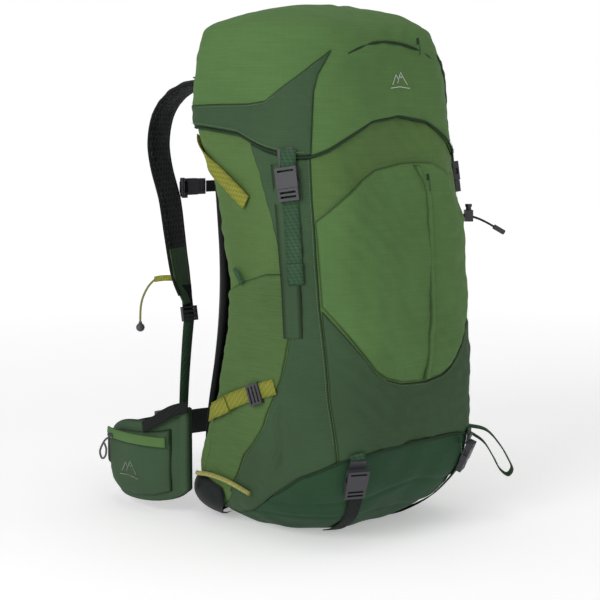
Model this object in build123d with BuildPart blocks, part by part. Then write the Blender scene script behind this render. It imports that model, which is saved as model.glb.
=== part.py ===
from build123d import *
from math import atan2, cos, pi, radians, sin, sqrt
import os

os.makedirs("parts", exist_ok=True)

# A hiking backpack standing on its base. Units are millimetres.
# +X is right seen from the front, -Y is the front, +Y is the wearer's side, +Z is up.
# The origin is on the floor, under the wearer's centre line.

# Overall sizes of the packed bag
pack_height = 662.0
pack_width = 314.0
front_reach = 150.0      # from the origin to the furthest point of the front
back_reach = 127.0       # from the origin to the furthest point of the back

# Fabric, webbing and clearances
wall = 2.6               # a fabric wall with its lining and foam
panel = 1.2              # a second layer sewn on the wall
webbing = 1.4            # thickness of all webbing
webbing_width = 20.0
seam_gap = 0.6           # between the edges of neighbouring panels
soft_gap = 1.0           # between pieces that move past each other
slide_gap = 0.4          # between moulded pieces that slide

# Heights: the lid group hangs from the top, the rest stands on the floor
hinge_height = pack_height - 96
lid_back_edge = pack_height - 150
lid_corner_edge = pack_height - 184
lid_front_edge = pack_height - 136
lid_pocket_floor = pack_height - 56
collar_inset = 14.0      # collar inside the outline of the bag
collar_height = 136.0
yoke_inset = 11.0        # yoke's edge inside the half width
bottom_seam = 122.0
pocket_top = lid_corner_edge - 8
pocket_bottom = 199.0
pocket_bulge = 5.0
side_pocket_top = 325.0
side_pocket_bottom = 112.0

# Moulded buckles for the narrow webbing
buckle_width = 27.0
buckle_depth = 8.6
socket_length = 25.0
clip_body = 15.0
prong_length = 17.0

# Outline of the bag: height, half width, front, back, front corner radius, back corner radius,
# all but the radii as shares of the overall sizes
outline = [
    (0.000, 0.57, 0.35, 0.91, 82, 60),
    (0.018, 0.71, 0.53, 0.95, 84, 60),
    (0.060, 0.86, 0.77, 1.00, 84, 48),
    (0.121, 0.94, 0.94, 0.95, 82, 38),
    (0.186, 0.96, 1.00, 0.76, 82, 32),
    (0.302, 0.99, 0.99, 0.48, 85, 30),
    (0.453, 1.00, 0.93, 0.34, 88, 30),
    (0.604, 1.00, 0.86, 0.47, 90, 30),
    (0.710, 1.00, 0.79, 0.65, 92, 30),
    (0.773, 0.99, 0.75, 0.84, 94, 30),
    (0.876, 0.97, 0.68, 0.88, 97, 36),
    (0.952, 0.92, 0.59, 0.85, 94, 46),
    (0.985, 0.73, 0.41, 0.66, 78, 54),
    (1.000, 0.42, 0.17, 0.41, 38, 38),
]
levels = [row[0] * pack_height for row in outline]
half_width = pack_width / 2
corner_flat = 4.0        # flat left between the corners of the narrowest section


def section(height):
    """Half width, front, back and the two corner radii at a height."""
    for low, high in zip(outline, outline[1:]):
        if height <= high[0] * pack_height + 1e-6:
            break
    share = (height / pack_height - low[0]) / (high[0] - low[0])
    mixed = [a + share * (b - a) for a, b in zip(low, high)]
    half = mixed[1] * pack_width / 2
    widest = half - corner_flat
    return half, -mixed[2] * front_reach, mixed[3] * back_reach, min(mixed[4], widest), min(mixed[5], widest)


def bag_form(grow, low, high):
    """Closed form of the bag between two heights, grown outwards by a distance."""
    inner_levels = [level for level in levels if low + 1 < level < high - 1]
    with BuildPart() as form:
        for height in [low, *inner_levels, high]:
            half, front, back, front_radius, back_radius = section(height)
            with BuildSketch(Plane.XY.offset(height)) as outline_sketch:
                with Locations((0, (front + back) / 2)):
                    Rectangle(2 * (half + grow), back - front + 2 * grow)
                rows = outline_sketch.vertices().group_by(Axis.Y)
                fillet(rows[0], front_radius + grow)
                rows = outline_sketch.vertices().group_by(Axis.Y)
                fillet(rows[-1], back_radius + grow)
        loft(ruled=True)
    return form.part


def skin_point(side, turn, height, stand=0.0):
    """Point over a front corner: turn 0 faces sideways, 90 faces the front."""
    half, front, back, radius, back_radius = section(height)
    reach = radius + stand
    x = half - radius + reach * cos(radians(turn))
    y = front + radius - reach * sin(radians(turn))
    return Vector(side * x, y, height)


def skin_plane(side, turn, height, stand=0.0, span=18.0):
    """Plane on a front corner, +Y up along the bag, +Z outwards."""
    up = (skin_point(side, turn, height + span) - skin_point(side, turn, height - span)).normalized()
    flat = Vector(side * cos(radians(turn)), -sin(radians(turn)), 0)
    across = up.cross(flat).normalized()
    outward = across.cross(up)
    return Plane(origin=skin_point(side, turn, height) + outward * stand, x_dir=across, z_dir=outward)


def side_plane(side, y, height, stand, along):
    """Plane on a flat side of the bag, +Z outwards, +X along a direction in side view."""
    return Plane(origin=(side * (section(height)[0] + stand), y, height), x_dir=(0, *along), z_dir=(side, 0, 0))


def draw_socket(width=buckle_width):
    """Female buckle half, its mouth on the origin and its body along +Y."""
    Box(width, socket_length, buckle_depth, align=(Align.CENTER, Align.MIN, Align.MIN))
    with Locations((0, 0, 2)):
        Box(width - 4, prong_length + 1.5, buckle_depth - 4, align=(Align.CENTER, Align.MIN, Align.MIN),
            mode=Mode.SUBTRACT)
    with Locations((0, 8, 2)):
        Box(width + 2, 7.5, buckle_depth - 4, align=(Align.CENTER, Align.MIN, Align.MIN), mode=Mode.SUBTRACT)
    with Locations((0, socket_length - 4.5, 0)):
        Box(width - 6, 2.4, 3 * buckle_depth, mode=Mode.SUBTRACT)


def draw_clip(width=buckle_width):
    """Male buckle half, its shoulder on the origin, prongs along +Y and webbing bars along -Y."""
    with Locations((0, -slide_gap, 0.8)):
        Box(width - 1, clip_body, buckle_depth - 1.6, align=(Align.CENTER, Align.MAX, Align.MIN))
    for slot in (-5.2, -10.6):
        with Locations((0, slot, 0)):
            Box(width - 7, 2.6, 3 * buckle_depth, mode=Mode.SUBTRACT)
    arm = buckle_depth - 4 - 2 * slide_gap
    for across in (-1, 0, 1):
        with Locations((across * (width / 2 - 4.4), -slide_gap - 1, 2 + slide_gap)):
            Box(3.2, prong_length, arm, align=(Align.CENTER, Align.MIN, Align.MIN))
        if across:
            with Locations((across * (width / 2 - 3.7), 9.5, 2 + slide_gap)):
                Box(2.6, 4.5, arm, align=(Align.CENTER, Align.MIN, Align.MIN))


def draw_ladder_lock():
    """Ladder lock on the origin, its webbing along X."""
    Box(22, 26, 4.6, align=(Align.CENTER, Align.CENTER, Align.MIN))
    for slot in (-6.4, 0, 6.4):
        with Locations((slot, 0, 0)):
            Box(2.8, webbing_width + 1, 12, mode=Mode.SUBTRACT)


def draw_slider():
    """Zip slider on the origin with its pull hanging along -Y."""
    Box(8, 11, 3.4, align=(Align.CENTER, Align.CENTER, Align.MIN))
    with Locations((0, -2, 3.4)):
        Box(5.4, 24, 1.8, align=(Align.CENTER, Align.MAX, Align.MIN))
    with Locations((0, 0, 3.4)):
        Box(2.4, 6, 1.8, align=(Align.CENTER, Align.CENTER, Align.MIN))


def band_outline(points, thickness):
    """Closed band of even thickness along points in the sketch plane."""
    left = []
    right = []
    for index, (u, v) in enumerate(points):
        before = points[max(index - 1, 0)]
        after = points[min(index + 1, len(points) - 1)]
        turn = atan2(after[1] - before[1], after[0] - before[0])
        left.append((u - sin(turn) * thickness / 2, v + cos(turn) * thickness / 2))
        right.append((u + sin(turn) * thickness / 2, v - cos(turn) * thickness / 2))
    with BuildLine() as border:
        Spline(*left)
        Line(left[-1], right[-1])
        Spline(*right[::-1])
        Line(right[0], left[0])
    make_face(border.edges())


def rounded_tube(points, diameter, name):
    """Straight runs joined by the largest arcs that the runs allow."""
    corners = [Vector(*point) for point in points]
    radii = []
    for before, here, after in zip(corners, corners[1:], corners[2:]):
        first = here - before
        second = after - here
        half_turn = radians(first.get_angle(second)) / 2
        radii.append(0.45 * min(first.length, second.length) * cos(half_turn) / sin(half_turn))
    print(name, "bend radii", [round(radius, 1) for radius in radii])
    with BuildPart() as tube:
        with BuildLine() as path:
            FilletPolyline(*corners, radius=radii)
        with BuildSketch(Plane(origin=corners[0], z_dir=corners[1] - corners[0])):
            Circle(diameter / 2)
        sweep(path=path.wire())
    length = path.wire().length
    print(name, "length", round(length, 1), "volume over section times length",
          round(tube.part.volume / (length * pi * diameter ** 2 / 4), 4))
    return tube.part


def finish(piece, label):
    """Name a finished piece and write its file."""
    piece.part.label = label
    export_step(piece.part, "parts/" + label + ".step")


def finish_pair(pieces, label):
    """Write a left and a right piece as one node of separate solids."""
    with BuildPart() as pair:
        add(pieces)
    finish(pair, label)


sides = ((-1, "left"), (1, "right"))

# Forms that the sewn pieces are cut from
skin_form = bag_form(0, 0, pack_height)
panel_form = bag_form(panel, 1, pack_height - 2)
strap_form = bag_form(panel + webbing, 1, pack_height - 2)
pocket_form = bag_form(pocket_bulge, bottom_seam, lid_back_edge)
inner_form = bag_form(-wall, bottom_seam + wall, pack_height - 2)

# Lid edge: low at the front corners, higher at the back, arched over the front
lid_arch_foot = section(lid_corner_edge)[0] - 20
lid_corner_y = section(lid_corner_edge)[1] + 45
yoke_half = section(hinge_height)[0] - yoke_inset
yoke_front = section(lid_back_edge)[2] - 26


def below_lid_edge(gap, back_gap):
    """Everything under the lid's lower edge, with the yoke at the back."""
    half = pack_width
    corner = lid_corner_edge - gap
    with BuildPart() as below:
        with BuildSketch(Plane.YZ):
            with BuildLine():
                Polyline((-half, 1), (-half, corner), (lid_corner_y, corner), (10, lid_back_edge - 8 - gap),
                         (60, lid_back_edge - gap), (half, lid_back_edge - gap), (half, 1), close=True)
            make_face()
        extrude(amount=half, both=True)
        with BuildSketch(Plane.XZ.offset(40)):
            with BuildLine():
                ThreePointArc((-lid_arch_foot, corner), (0, lid_front_edge - gap), (lid_arch_foot, corner))
                Polyline((lid_arch_foot, corner), (lid_arch_foot, 1), (-lid_arch_foot, 1), (-lid_arch_foot, corner))
            make_face()
        extrude(amount=half)
        with BuildSketch(Plane.XY.offset(1)):
            with Locations((0, yoke_front - back_gap)):
                Rectangle(2 * (yoke_half + back_gap), half, align=(Align.CENTER, Align.MIN))
        extrude(amount=hinge_height - 2 + back_gap - 1)
    return below.part


# ---------------------------------------------------------------- bag

with BuildPart() as main_bag:
    add(bag_form(0, bottom_seam, pack_height - 30))
    add(inner_form, mode=Mode.SUBTRACT)
    add(below_lid_edge(soft_gap, 0), mode=Mode.INTERSECT)
finish(main_bag, "main_bag")

collar_base = lid_corner_edge - 20
with BuildPart() as collar:
    add(bag_form(-collar_inset, collar_base, collar_base + collar_height))
    add(bag_form(-collar_inset - wall, collar_base - 5, collar_base + collar_height + 5), mode=Mode.SUBTRACT)
with BuildPart() as collar_ledge:
    add(bag_form(-wall, collar_base - 5, collar_base))
    add(bag_form(-collar_inset - wall, collar_base - 9, collar_base + 4), mode=Mode.SUBTRACT)
with BuildPart() as joined_collar:
    add(collar.part)
    add(collar_ledge.part)
finish(joined_collar, "collar")

with BuildPart() as bottom_compartment:
    add(bag_form(0, 0, bottom_seam - seam_gap))
finish(bottom_compartment, "bottom_compartment")

base_panel_top = 58.0
with BuildPart() as base_panel:
    add(panel_form)
    add(skin_form, mode=Mode.SUBTRACT)
    with BuildSketch(Plane.YZ):
        with BuildLine():
            Polyline((52, 1), (66, base_panel_top - 14), (96, base_panel_top), (back_reach + 20, base_panel_top),
                     (back_reach + 20, 1), close=True)
        make_face()
    extrude(amount=pack_width, both=True, mode=Mode.INTERSECT)
finish(base_panel, "base_panel")

corner_top = lid_corner_edge - soft_gap - 1
corner_seam_x = 0.85 * pack_width / 2
dark_edge = [(-27, corner_top), (-54, 379), (-76, 308), (-77, 266), (-66, 210), (-25, 150), (-8, bottom_seam + 1)]

for side, name in sides:
    with BuildPart() as corner_panel:
        add(panel_form)
        add(skin_form, mode=Mode.SUBTRACT)
        with BuildSketch(Plane.YZ.offset(side * corner_seam_x)):
            with BuildLine():
                Spline(*dark_edge)
                Polyline(dark_edge[-1], (-2 * front_reach, bottom_seam + 1), (-2 * front_reach, corner_top),
                         dark_edge[0])
            make_face()
        extrude(amount=side * pack_width, mode=Mode.INTERSECT)
    finish(corner_panel, "corner_panel_" + name)

    with BuildPart() as side_pocket:
        add(panel_form)
        add(skin_form, mode=Mode.SUBTRACT)
        with BuildSketch(Plane.YZ.offset(side * pack_width / 4)):
            with BuildLine():
                shifted = [(y + seam_gap + 4, z) for y, z in dark_edge[2:]]
                Spline(*shifted)
                Polyline(shifted[-1], (back_reach, side_pocket_bottom + 11), (back_reach, side_pocket_top - 38),
                         (-40, side_pocket_top + 12), shifted[0])
            make_face()
        extrude(amount=side * pack_width, mode=Mode.INTERSECT)
    finish(side_pocket, "side_pocket_" + name)

with BuildPart() as front_pocket:
    add(pocket_form)
    add(skin_form, mode=Mode.SUBTRACT)
    with BuildSketch(Plane.XZ.offset(30)):
        with BuildLine():
            Spline((-corner_seam_x, pocket_top - 68), (-0.65 * corner_seam_x, pocket_top - 22), (24, pocket_top),
                   (0.65 * corner_seam_x, pocket_top - 18), (corner_seam_x, pocket_top - 68))
            Line((corner_seam_x, pocket_top - 68), (corner_seam_x, pocket_bottom + 101))
            Spline((corner_seam_x, pocket_bottom + 101), (0.6 * corner_seam_x, pocket_bottom + 21),
                   (0, pocket_bottom), (-0.6 * corner_seam_x, pocket_bottom + 21),
                   (-corner_seam_x, pocket_bottom + 101))
            Line((-corner_seam_x, pocket_bottom + 101), (-corner_seam_x, pocket_top - 68))
        make_face()
    extrude(amount=pack_width, mode=Mode.INTERSECT)
finish(front_pocket, "front_pocket")

with BuildPart() as front_apron:
    add(panel_form)
    add(skin_form, mode=Mode.SUBTRACT)
    with BuildSketch(Plane.XZ.offset(30)):
        with BuildLine():
            edge = corner_seam_x - seam_gap
            Spline((edge, pocket_bottom + 96), (0.6 * corner_seam_x, pocket_bottom + 17),
                   (0, pocket_bottom - 2), (-0.6 * corner_seam_x, pocket_bottom + 17), (-edge, pocket_bottom + 96))
            Polyline((-edge, pocket_bottom + 96), (-edge, bottom_seam + 1), (edge, bottom_seam + 1),
                     (edge, pocket_bottom + 96))
        make_face()
    extrude(amount=pack_width, mode=Mode.INTERSECT)
finish(front_apron, "front_apron")

# The front zip is a straight flat tape on the pocket, with room for its slider
zip_x = 28.0
zip_low = pocket_bottom + 8
zip_high = pocket_top - 8
zip_lift = 1.4


def front_line(height, stand):
    """Point on the flat of the front pocket at the zip."""
    return Vector(zip_x, section(height)[1] - pocket_bulge - stand, height)


zip_up = (front_line(zip_high, 0) - front_line(zip_low, 0)).normalized()
zip_foot = front_line(zip_low, 0)
zip_bow = max((front_line(h, 0) - zip_foot).cross(zip_up).length for h in levels[5:9] if zip_low < h < zip_high)
zip_out = Vector(1, 0, 0).cross(zip_up)
zip_plane = Plane(origin=zip_foot + zip_out * (zip_bow + 0.2), x_dir=(1, 0, 0), z_dir=zip_out)
zip_length = (front_line(zip_high, 0) - zip_foot).length
with BuildPart(zip_plane) as front_zip:
    Box(16, zip_length, zip_lift, align=(Align.CENTER, Align.MIN, Align.MIN))
    with Locations((0, 0, -zip_bow - 1)):
        Box(10, zip_length - 4, zip_bow + 1, align=(Align.CENTER, Align.MIN, Align.MIN))
with BuildPart() as fitted_front_zip:
    add(front_zip.part)
    add(pocket_form, mode=Mode.SUBTRACT)
finish(fitted_front_zip, "front_zip")

bottom_zip_width = 10.0
with BuildPart() as bottom_zip:
    add(panel_form)
    add(skin_form, mode=Mode.SUBTRACT)
    with BuildSketch(Plane.XZ.offset(20)):
        with Locations((0, bottom_seam - 7)):
            Rectangle(2 * corner_seam_x, bottom_zip_width)
    extrude(amount=pack_width, mode=Mode.INTERSECT)
finish(bottom_zip, "bottom_zip")

# Side straps
upper_strap_path = ((98, lid_back_edge - 14), (0, lid_back_edge - 86))
lower_strap_path = ((72, 150), (-58, 201))


def strap_across(path, side):
    """Webbing sewn flat on a side of the bag, along a straight line in side view."""
    (y1, z1), (y2, z2) = path
    with BuildPart() as strap:
        add(strap_form)
        add(panel_form, mode=Mode.SUBTRACT)
        run = sqrt((y2 - y1) ** 2 + (z2 - z1) ** 2)
        place = Plane(origin=(side * pack_width / 4, (y1 + y2) / 2, (z1 + z2) / 2), x_dir=(0, y2 - y1, z2 - z1),
                      z_dir=(side, 0, 0))
        with BuildSketch(place):
            Rectangle(run, webbing_width)
        extrude(amount=pack_width, mode=Mode.INTERSECT)
    return strap


for path, name in ((upper_strap_path, "upper_side_straps"), (lower_strap_path, "lower_side_straps")):
    finish_pair([strap_across(path, side).part for side, side_name in sides], name)

lock_stand = panel + webbing + 1.2
lock_share = 0.72        # how far along the strap its lock sits
(lock_y1, lock_z1), (lock_y2, lock_z2) = lower_strap_path
lock_along = (lock_y2 - lock_y1, lock_z2 - lock_z1)
lock_y = lock_y1 + lock_share * lock_along[0]
lock_height = lock_z1 + lock_share * lock_along[1]
side_locks = []
for side, name in sides:
    with BuildPart(side_plane(side, lock_y, lock_height, lock_stand, lock_along)) as side_lock:
        draw_ladder_lock()
    side_locks.append(side_lock.part)
finish_pair(side_locks, "side_strap_locks")

# Lid straps, and the clips of the lid's buckles on them
strap_turn = 26.0
buckle_mouth = lid_corner_edge - 37
lid_strap_foot = lid_corner_edge - 150
mould_stand = panel + webbing + 0.6
lid_straps = []
for side, name in sides:
    middle = skin_plane(side, strap_turn, (buckle_mouth + lid_strap_foot) / 2)
    with BuildPart() as lid_strap:
        add(strap_form)
        add(panel_form, mode=Mode.SUBTRACT)
        with BuildSketch(middle.offset(-30)):
            with Locations((0, 0)):
                Rectangle(webbing_width, buckle_mouth - 4 - lid_strap_foot)
        extrude(amount=60, mode=Mode.INTERSECT)
    lid_straps.append(lid_strap.part)

    clip_plane = skin_plane(side, strap_turn, buckle_mouth, mould_stand)
    with BuildPart(clip_plane) as lid_clip:
        draw_clip()
    finish(lid_clip, "lid_clip_" + name)
    print("lid clip", name, "slides along", -clip_plane.y_dir)
finish_pair(lid_straps, "lid_straps")

# Pad straps under the bottom compartment
pad_turn = 64.0
pad_mouth = 84.0
pad_straps = []
for side, name in sides:
    pad_plane = skin_plane(side, pad_turn, pad_mouth, mould_stand)
    with BuildPart(pad_plane) as pad_clip:
        draw_clip()
    finish(pad_clip, "pad_clip_" + name)
    print("pad clip", name, "slides along", -pad_plane.y_dir)

    with BuildPart() as pad_strap:
        add(strap_form)
        add(panel_form, mode=Mode.SUBTRACT)
        with BuildSketch(pad_plane.offset(-40)):
            with Locations((0, -42)):
                Rectangle(webbing_width, 70)
        extrude(amount=80, mode=Mode.INTERSECT)
    pad_straps.append(pad_strap.part)
finish_pair(pad_straps, "pad_straps")

pad_socket_pair = []
for side, name in sides:
    with BuildPart(skin_plane(side, pad_turn, pad_mouth, mould_stand)) as pad_socket:
        draw_socket()
        with Locations((0, socket_length - 3, -mould_stand + panel)):
            Box(webbing_width, 13, mould_stand - panel, align=(Align.CENTER, Align.MIN, Align.MIN))
    pad_socket_pair.append(pad_socket.part)
finish_pair(pad_socket_pair, "pad_sockets")

# Webbing loops
loop_root = skin_point(1, 45, bottom_seam + 1, panel)
loop_plane = Plane(origin=loop_root, x_dir=(1, -1, 0), z_dir=(-1, -1, 0))
loop_path = [(0.5, -2), (24, -8), (42, -27), (55, -48), (60, -62), (54, -69), (44, -62), (34, -44), (21, -24), (6, -12)]
with BuildPart() as ice_axe_loop:
    with BuildSketch(loop_plane):
        band_outline(loop_path, 2.2)
    extrude(amount=webbing_width / 2, both=True)
finish(ice_axe_loop, "ice_axe_loop")

yoke_back = section(hinge_height - 12)[2]
haul_path = [(yoke_back + 0.6, hinge_height - 8), (yoke_back + 16, hinge_height - 9), (yoke_back + 24, hinge_height - 20),
             (yoke_back + 24, hinge_height - 30), (yoke_back + 16, hinge_height - 41), (yoke_back + 0.6, hinge_height - 42)]
with BuildPart() as haul_loop:
    with BuildSketch(Plane.YZ):
        band_outline(haul_path, 2.2)
    extrude(amount=webbing_width, both=True)
    add(bag_form(0.2, lid_back_edge, pack_height - 60), mode=Mode.SUBTRACT)
finish(haul_loop, "haul_loop")

# Pole-tip loop: a lime sheathed cord held along the lower edge of the left side
tip_loop_diameter = 6.0
tip_loop_points = []
for along, height in ((104, 64), (72, 68), (40, 65), (2, 55)):
    half, front, back, front_radius, back_radius = section(height)
    corner = max(0.0, along - (back - back_radius))
    reach = back_radius + panel + webbing + tip_loop_diameter / 2 + 1.2
    x = half - back_radius + sqrt(reach ** 2 - corner ** 2)
    tip_loop_points.append((-x, along, height))
pole_tip_loop = BuildPart()
with pole_tip_loop:
    add(rounded_tube(tip_loop_points, tip_loop_diameter, "pole_tip_loop"))
finish(pole_tip_loop, "pole_tip_loop")

# Elastic tool holder on the right front corner: two strands, cord lock and end barrel
bungee_diameter = 3.0
bungee_height = 398.0
bungee_root = skin_point(1, 37, bungee_height, 1.0)
outward = Vector(1, -1, 0).normalized()
across = Vector(1, 1, 0).normalized()
strand_route = [(0, 0), (12, -1), (24, -4), (36, -9), (48, -16)]
strand_spread = [3.4, 2.6, 2.6, 2.6, 2.2]


def bungee_point(reach, drop, spread):
    """Point out from the right front corner of the bag."""
    return bungee_root + outward * (reach + panel) + across * spread + Vector(0, 0, drop)


for sign, name in ((-1, "near"), (1, "far")):
    strand_points = [bungee_point(reach, drop, sign * spread)
                     for (reach, drop), spread in zip(strand_route, strand_spread)]
    strand = BuildPart()
    with strand:
        add(rounded_tube([tuple(point) for point in strand_points], bungee_diameter, "bungee_" + name))
    finish(strand, "bungee_" + name)

barrel_start = bungee_point(48, -16, 0)
barrel_dir = (bungee_point(48, -16, 0) - bungee_point(36, -9, 0)).normalized()
barrel_plane = Plane(origin=barrel_start, x_dir=across, z_dir=barrel_dir)
with BuildPart() as bungee_barrel:
    with BuildSketch(barrel_plane):
        SlotCenterToCenter(4.6, 6.6)
    extrude(amount=16)
    fillet(bungee_barrel.faces().sort_by(Axis((0, 0, 0), tuple(barrel_dir)))[-1].edges(), 1.4)
finish(bungee_barrel, "bungee_barrel")

lock_centre = bungee_point(14, -1.4, 0)
lock_plane = Plane(origin=lock_centre, x_dir=across, z_dir=(0, 0, 1))
button_travel = 4.0
with BuildPart(lock_plane) as cord_lock_body:
    Box(16, 11, 15)
    Cylinder(3.6 + slide_gap, 12, align=(Align.CENTER, Align.CENTER, Align.MIN), mode=Mode.SUBTRACT)
    for spread in (-2.6, 2.6):
        with Locations((spread, 0, 0)):
            Cylinder(bungee_diameter / 2 + 0.8, 20, rotation=(90, 0, 0), mode=Mode.SUBTRACT)
finish(cord_lock_body, "cord_lock_body")

with BuildPart(lock_plane) as cord_lock_button:
    with Locations((0, 0, 6.4)):
        Cylinder(3.6, 9, align=(Align.CENTER, Align.CENTER, Align.MIN))
    with Locations((0, 0, 7.5 + button_travel + slide_gap)):
        Cylinder(4.6, 3.4, align=(Align.CENTER, Align.CENTER, Align.MIN))
finish(cord_lock_button, "cord_lock_button")

# ---------------------------------------------------------------- lid

lid_half_form = bag_form(0, collar_base, pack_height)
with BuildPart() as lid_shell:
    add(lid_half_form)
    add(bag_form(-wall, collar_base - 5, lid_pocket_floor), mode=Mode.SUBTRACT)
    add(below_lid_edge(0, soft_gap), mode=Mode.SUBTRACT)
finish(lid_shell, "lid_shell")

wing_top = pack_height - 62
lid_wings = []
for side, name in sides:
    with BuildPart() as lid_wing:
        add(panel_form)
        add(lid_half_form, mode=Mode.SUBTRACT)
        with BuildSketch(Plane.YZ.offset(side * 40)):
            with BuildLine():
                Polyline((yoke_front + 40, lid_back_edge + 1), (yoke_front + 40, lid_back_edge + 29),
                         (-20, lid_back_edge + 29), (-86, wing_top), (-84, wing_top - 50),
                         (-95, lid_corner_edge + 20), (-88, lid_corner_edge + 1), (lid_corner_y - 2, lid_corner_edge + 1),
                         (10, lid_back_edge - 7), (60, lid_back_edge + 1), close=True)
            make_face()
        extrude(amount=side * pack_width, mode=Mode.INTERSECT)
        add(below_lid_edge(-1, soft_gap + 1), mode=Mode.SUBTRACT)
    lid_wings.append(lid_wing.part)
finish_pair(lid_wings, "lid_wings")

lid_tab_lift = 0.5
lid_socket_pair = []
for side, name in sides:
    with BuildPart(skin_plane(side, strap_turn, buckle_mouth, mould_stand)) as lid_socket:
        draw_socket()
        with Locations((0, socket_length - 3, lid_tab_lift + panel - mould_stand)):
            Box(webbing_width, 26, mould_stand - panel + 0.9 - lid_tab_lift,
                align=(Align.CENTER, Align.MIN, Align.MIN))
    lid_socket_pair.append(lid_socket.part)
finish_pair(lid_socket_pair, "lid_sockets")

lid_zip_height = pack_height - 42
lid_zip_half = 70.0
lid_zip_x = 10.0
lid_zip_low = Vector(lid_zip_x, section(lid_zip_height - 8)[1], lid_zip_height - 8)
lid_zip_up = (Vector(lid_zip_x, section(lid_zip_height + 8)[1], lid_zip_height + 8) - lid_zip_low).normalized()
lid_zip_plane = Plane(origin=Vector(lid_zip_x, section(lid_zip_height)[1], lid_zip_height), x_dir=(1, 0, 0),
                      z_dir=Vector(1, 0, 0).cross(lid_zip_up))
with BuildPart() as lid_zip:
    add(panel_form)
    add(lid_half_form, mode=Mode.SUBTRACT)
    with BuildSketch(lid_zip_plane.offset(-20)):
        Rectangle(2 * lid_zip_half, 9)
    extrude(amount=40, mode=Mode.INTERSECT)
finish(lid_zip, "lid_zip")

# ---------------------------------------------------------------- zip sliders

slider_gap = 0.5
with BuildPart(Plane(origin=zip_plane.origin + zip_up * (zip_length - 10) + zip_plane.z_dir * (zip_lift + slider_gap),
                     x_dir=(1, 0, 0), z_dir=zip_plane.z_dir)) as front_slider:
    draw_slider()
finish(front_slider, "front_slider")
print("front slider slides along", -zip_up, "for up to", zip_length - 50)

bottom_zip_height = bottom_seam - 7
bottom_slider_x = 76.0
front_lean = (section(bottom_zip_height)[1] - section(bottom_zip_height - 20)[1]) / 20
with BuildPart(Plane(origin=(bottom_slider_x, section(bottom_zip_height)[1] - panel - 1.0, bottom_zip_height),
                     x_dir=(1, 0, 0), z_dir=(0, -1, front_lean))) as bottom_slider:
    draw_slider()
finish(bottom_slider, "bottom_slider")

lid_slider_x = 46.0
lid_slider_place = Vector(lid_slider_x - lid_zip_x, 0, 0) + lid_zip_plane.z_dir * (panel + 1.2)
with BuildPart(Plane(origin=lid_zip_plane.origin + lid_slider_place, x_dir=(1, 0, 0),
                     z_dir=lid_zip_plane.z_dir)) as lid_slider:
    draw_slider()
finish(lid_slider, "lid_slider")

# ---------------------------------------------------------------- back and frame

wire = 5.0
frame_half = 0.688 * half_width
frame_low = 72.0
frame_high = hinge_height - 16
frame_mid_y = 92.0
frame_low_y = section(frame_low)[2] + 2 * panel + wire / 2
frame_high_y = yoke_back + panel + wire / 2
side_rail = [(frame_low_y, frame_low), (frame_low_y - 6, frame_low + 60), (frame_mid_y, 300),
             (frame_high_y - 5, frame_high - 60), (frame_high_y, frame_high)]
frame_joint = 0.4        # between the wire's two ends
frame_route = ([Vector(-frame_joint / 2, frame_low_y, frame_low)]
               + [Vector(-frame_half, y, z) for y, z in side_rail]
               + [Vector(frame_half, y, z) for y, z in side_rail[::-1]]
               + [Vector(frame_joint / 2, frame_low_y, frame_low)])
frame_wire = BuildPart()
with frame_wire:
    add(rounded_tube([tuple(point) for point in frame_route], wire, "frame_wire"))
finish(frame_wire, "frame_wire")

mesh_thickness = 3.0
mesh_half = frame_half - 1
with BuildPart() as back_mesh:
    with BuildSketch(Plane.YZ):
        band_outline([(y + wire / 2 + mesh_thickness / 2 + 0.1, z) for y, z in
                      [(frame_low_y, frame_low + 2), *side_rail[1:-1], (frame_high_y - 3, frame_high - 40)]], mesh_thickness)
    extrude(amount=mesh_half, both=True)
finish(back_mesh, "back_mesh")

lumbar_y = frame_low_y + wire / 2 + mesh_thickness + 0.3
with BuildPart() as lumbar_pad:
    with BuildSketch(Plane.XZ.offset(-lumbar_y)):
        with Locations((0, 108)):
            RectangleRounded(150, 76, 18)
    extrude(amount=-13)
    fillet(lumbar_pad.faces().sort_by(Axis.Y)[-1].edges(), 4)
finish(lumbar_pad, "lumbar_pad")

# ---------------------------------------------------------------- harness

harness_x = 0.548 * half_width
harness_cant = 24.0
strap_width = 60.0
strap_thick = 12.0
root_y = yoke_back + 8
strap_line = [(root_y - 20, -14), (160, -10), (200, -13), (228, -26), (246, -51), (249, -76), (241, -108),
              (225, -146), (216, -190), (208, -231), (200, -261), (188, -290)]
strap_tip = strap_line[-1]

for side, name in sides:
    cant = (cos(radians(harness_cant)), -side * sin(radians(harness_cant)), 0)
    with BuildPart() as shoulder_strap:
        with BuildSketch(Plane.YZ.offset(side * harness_x)):
            band_outline([(y, hinge_height + drop) for y, drop in strap_line], strap_thick)
        extrude(amount=strap_width / 2, dir=cant, both=True)
        with BuildSketch(Plane.XZ.offset(-root_y)):
            Rectangle(2 * pack_width, 3 * pack_height)
        extrude(amount=pack_width, mode=Mode.SUBTRACT)
    finish(shoulder_strap, "shoulder_strap_" + name)

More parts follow.
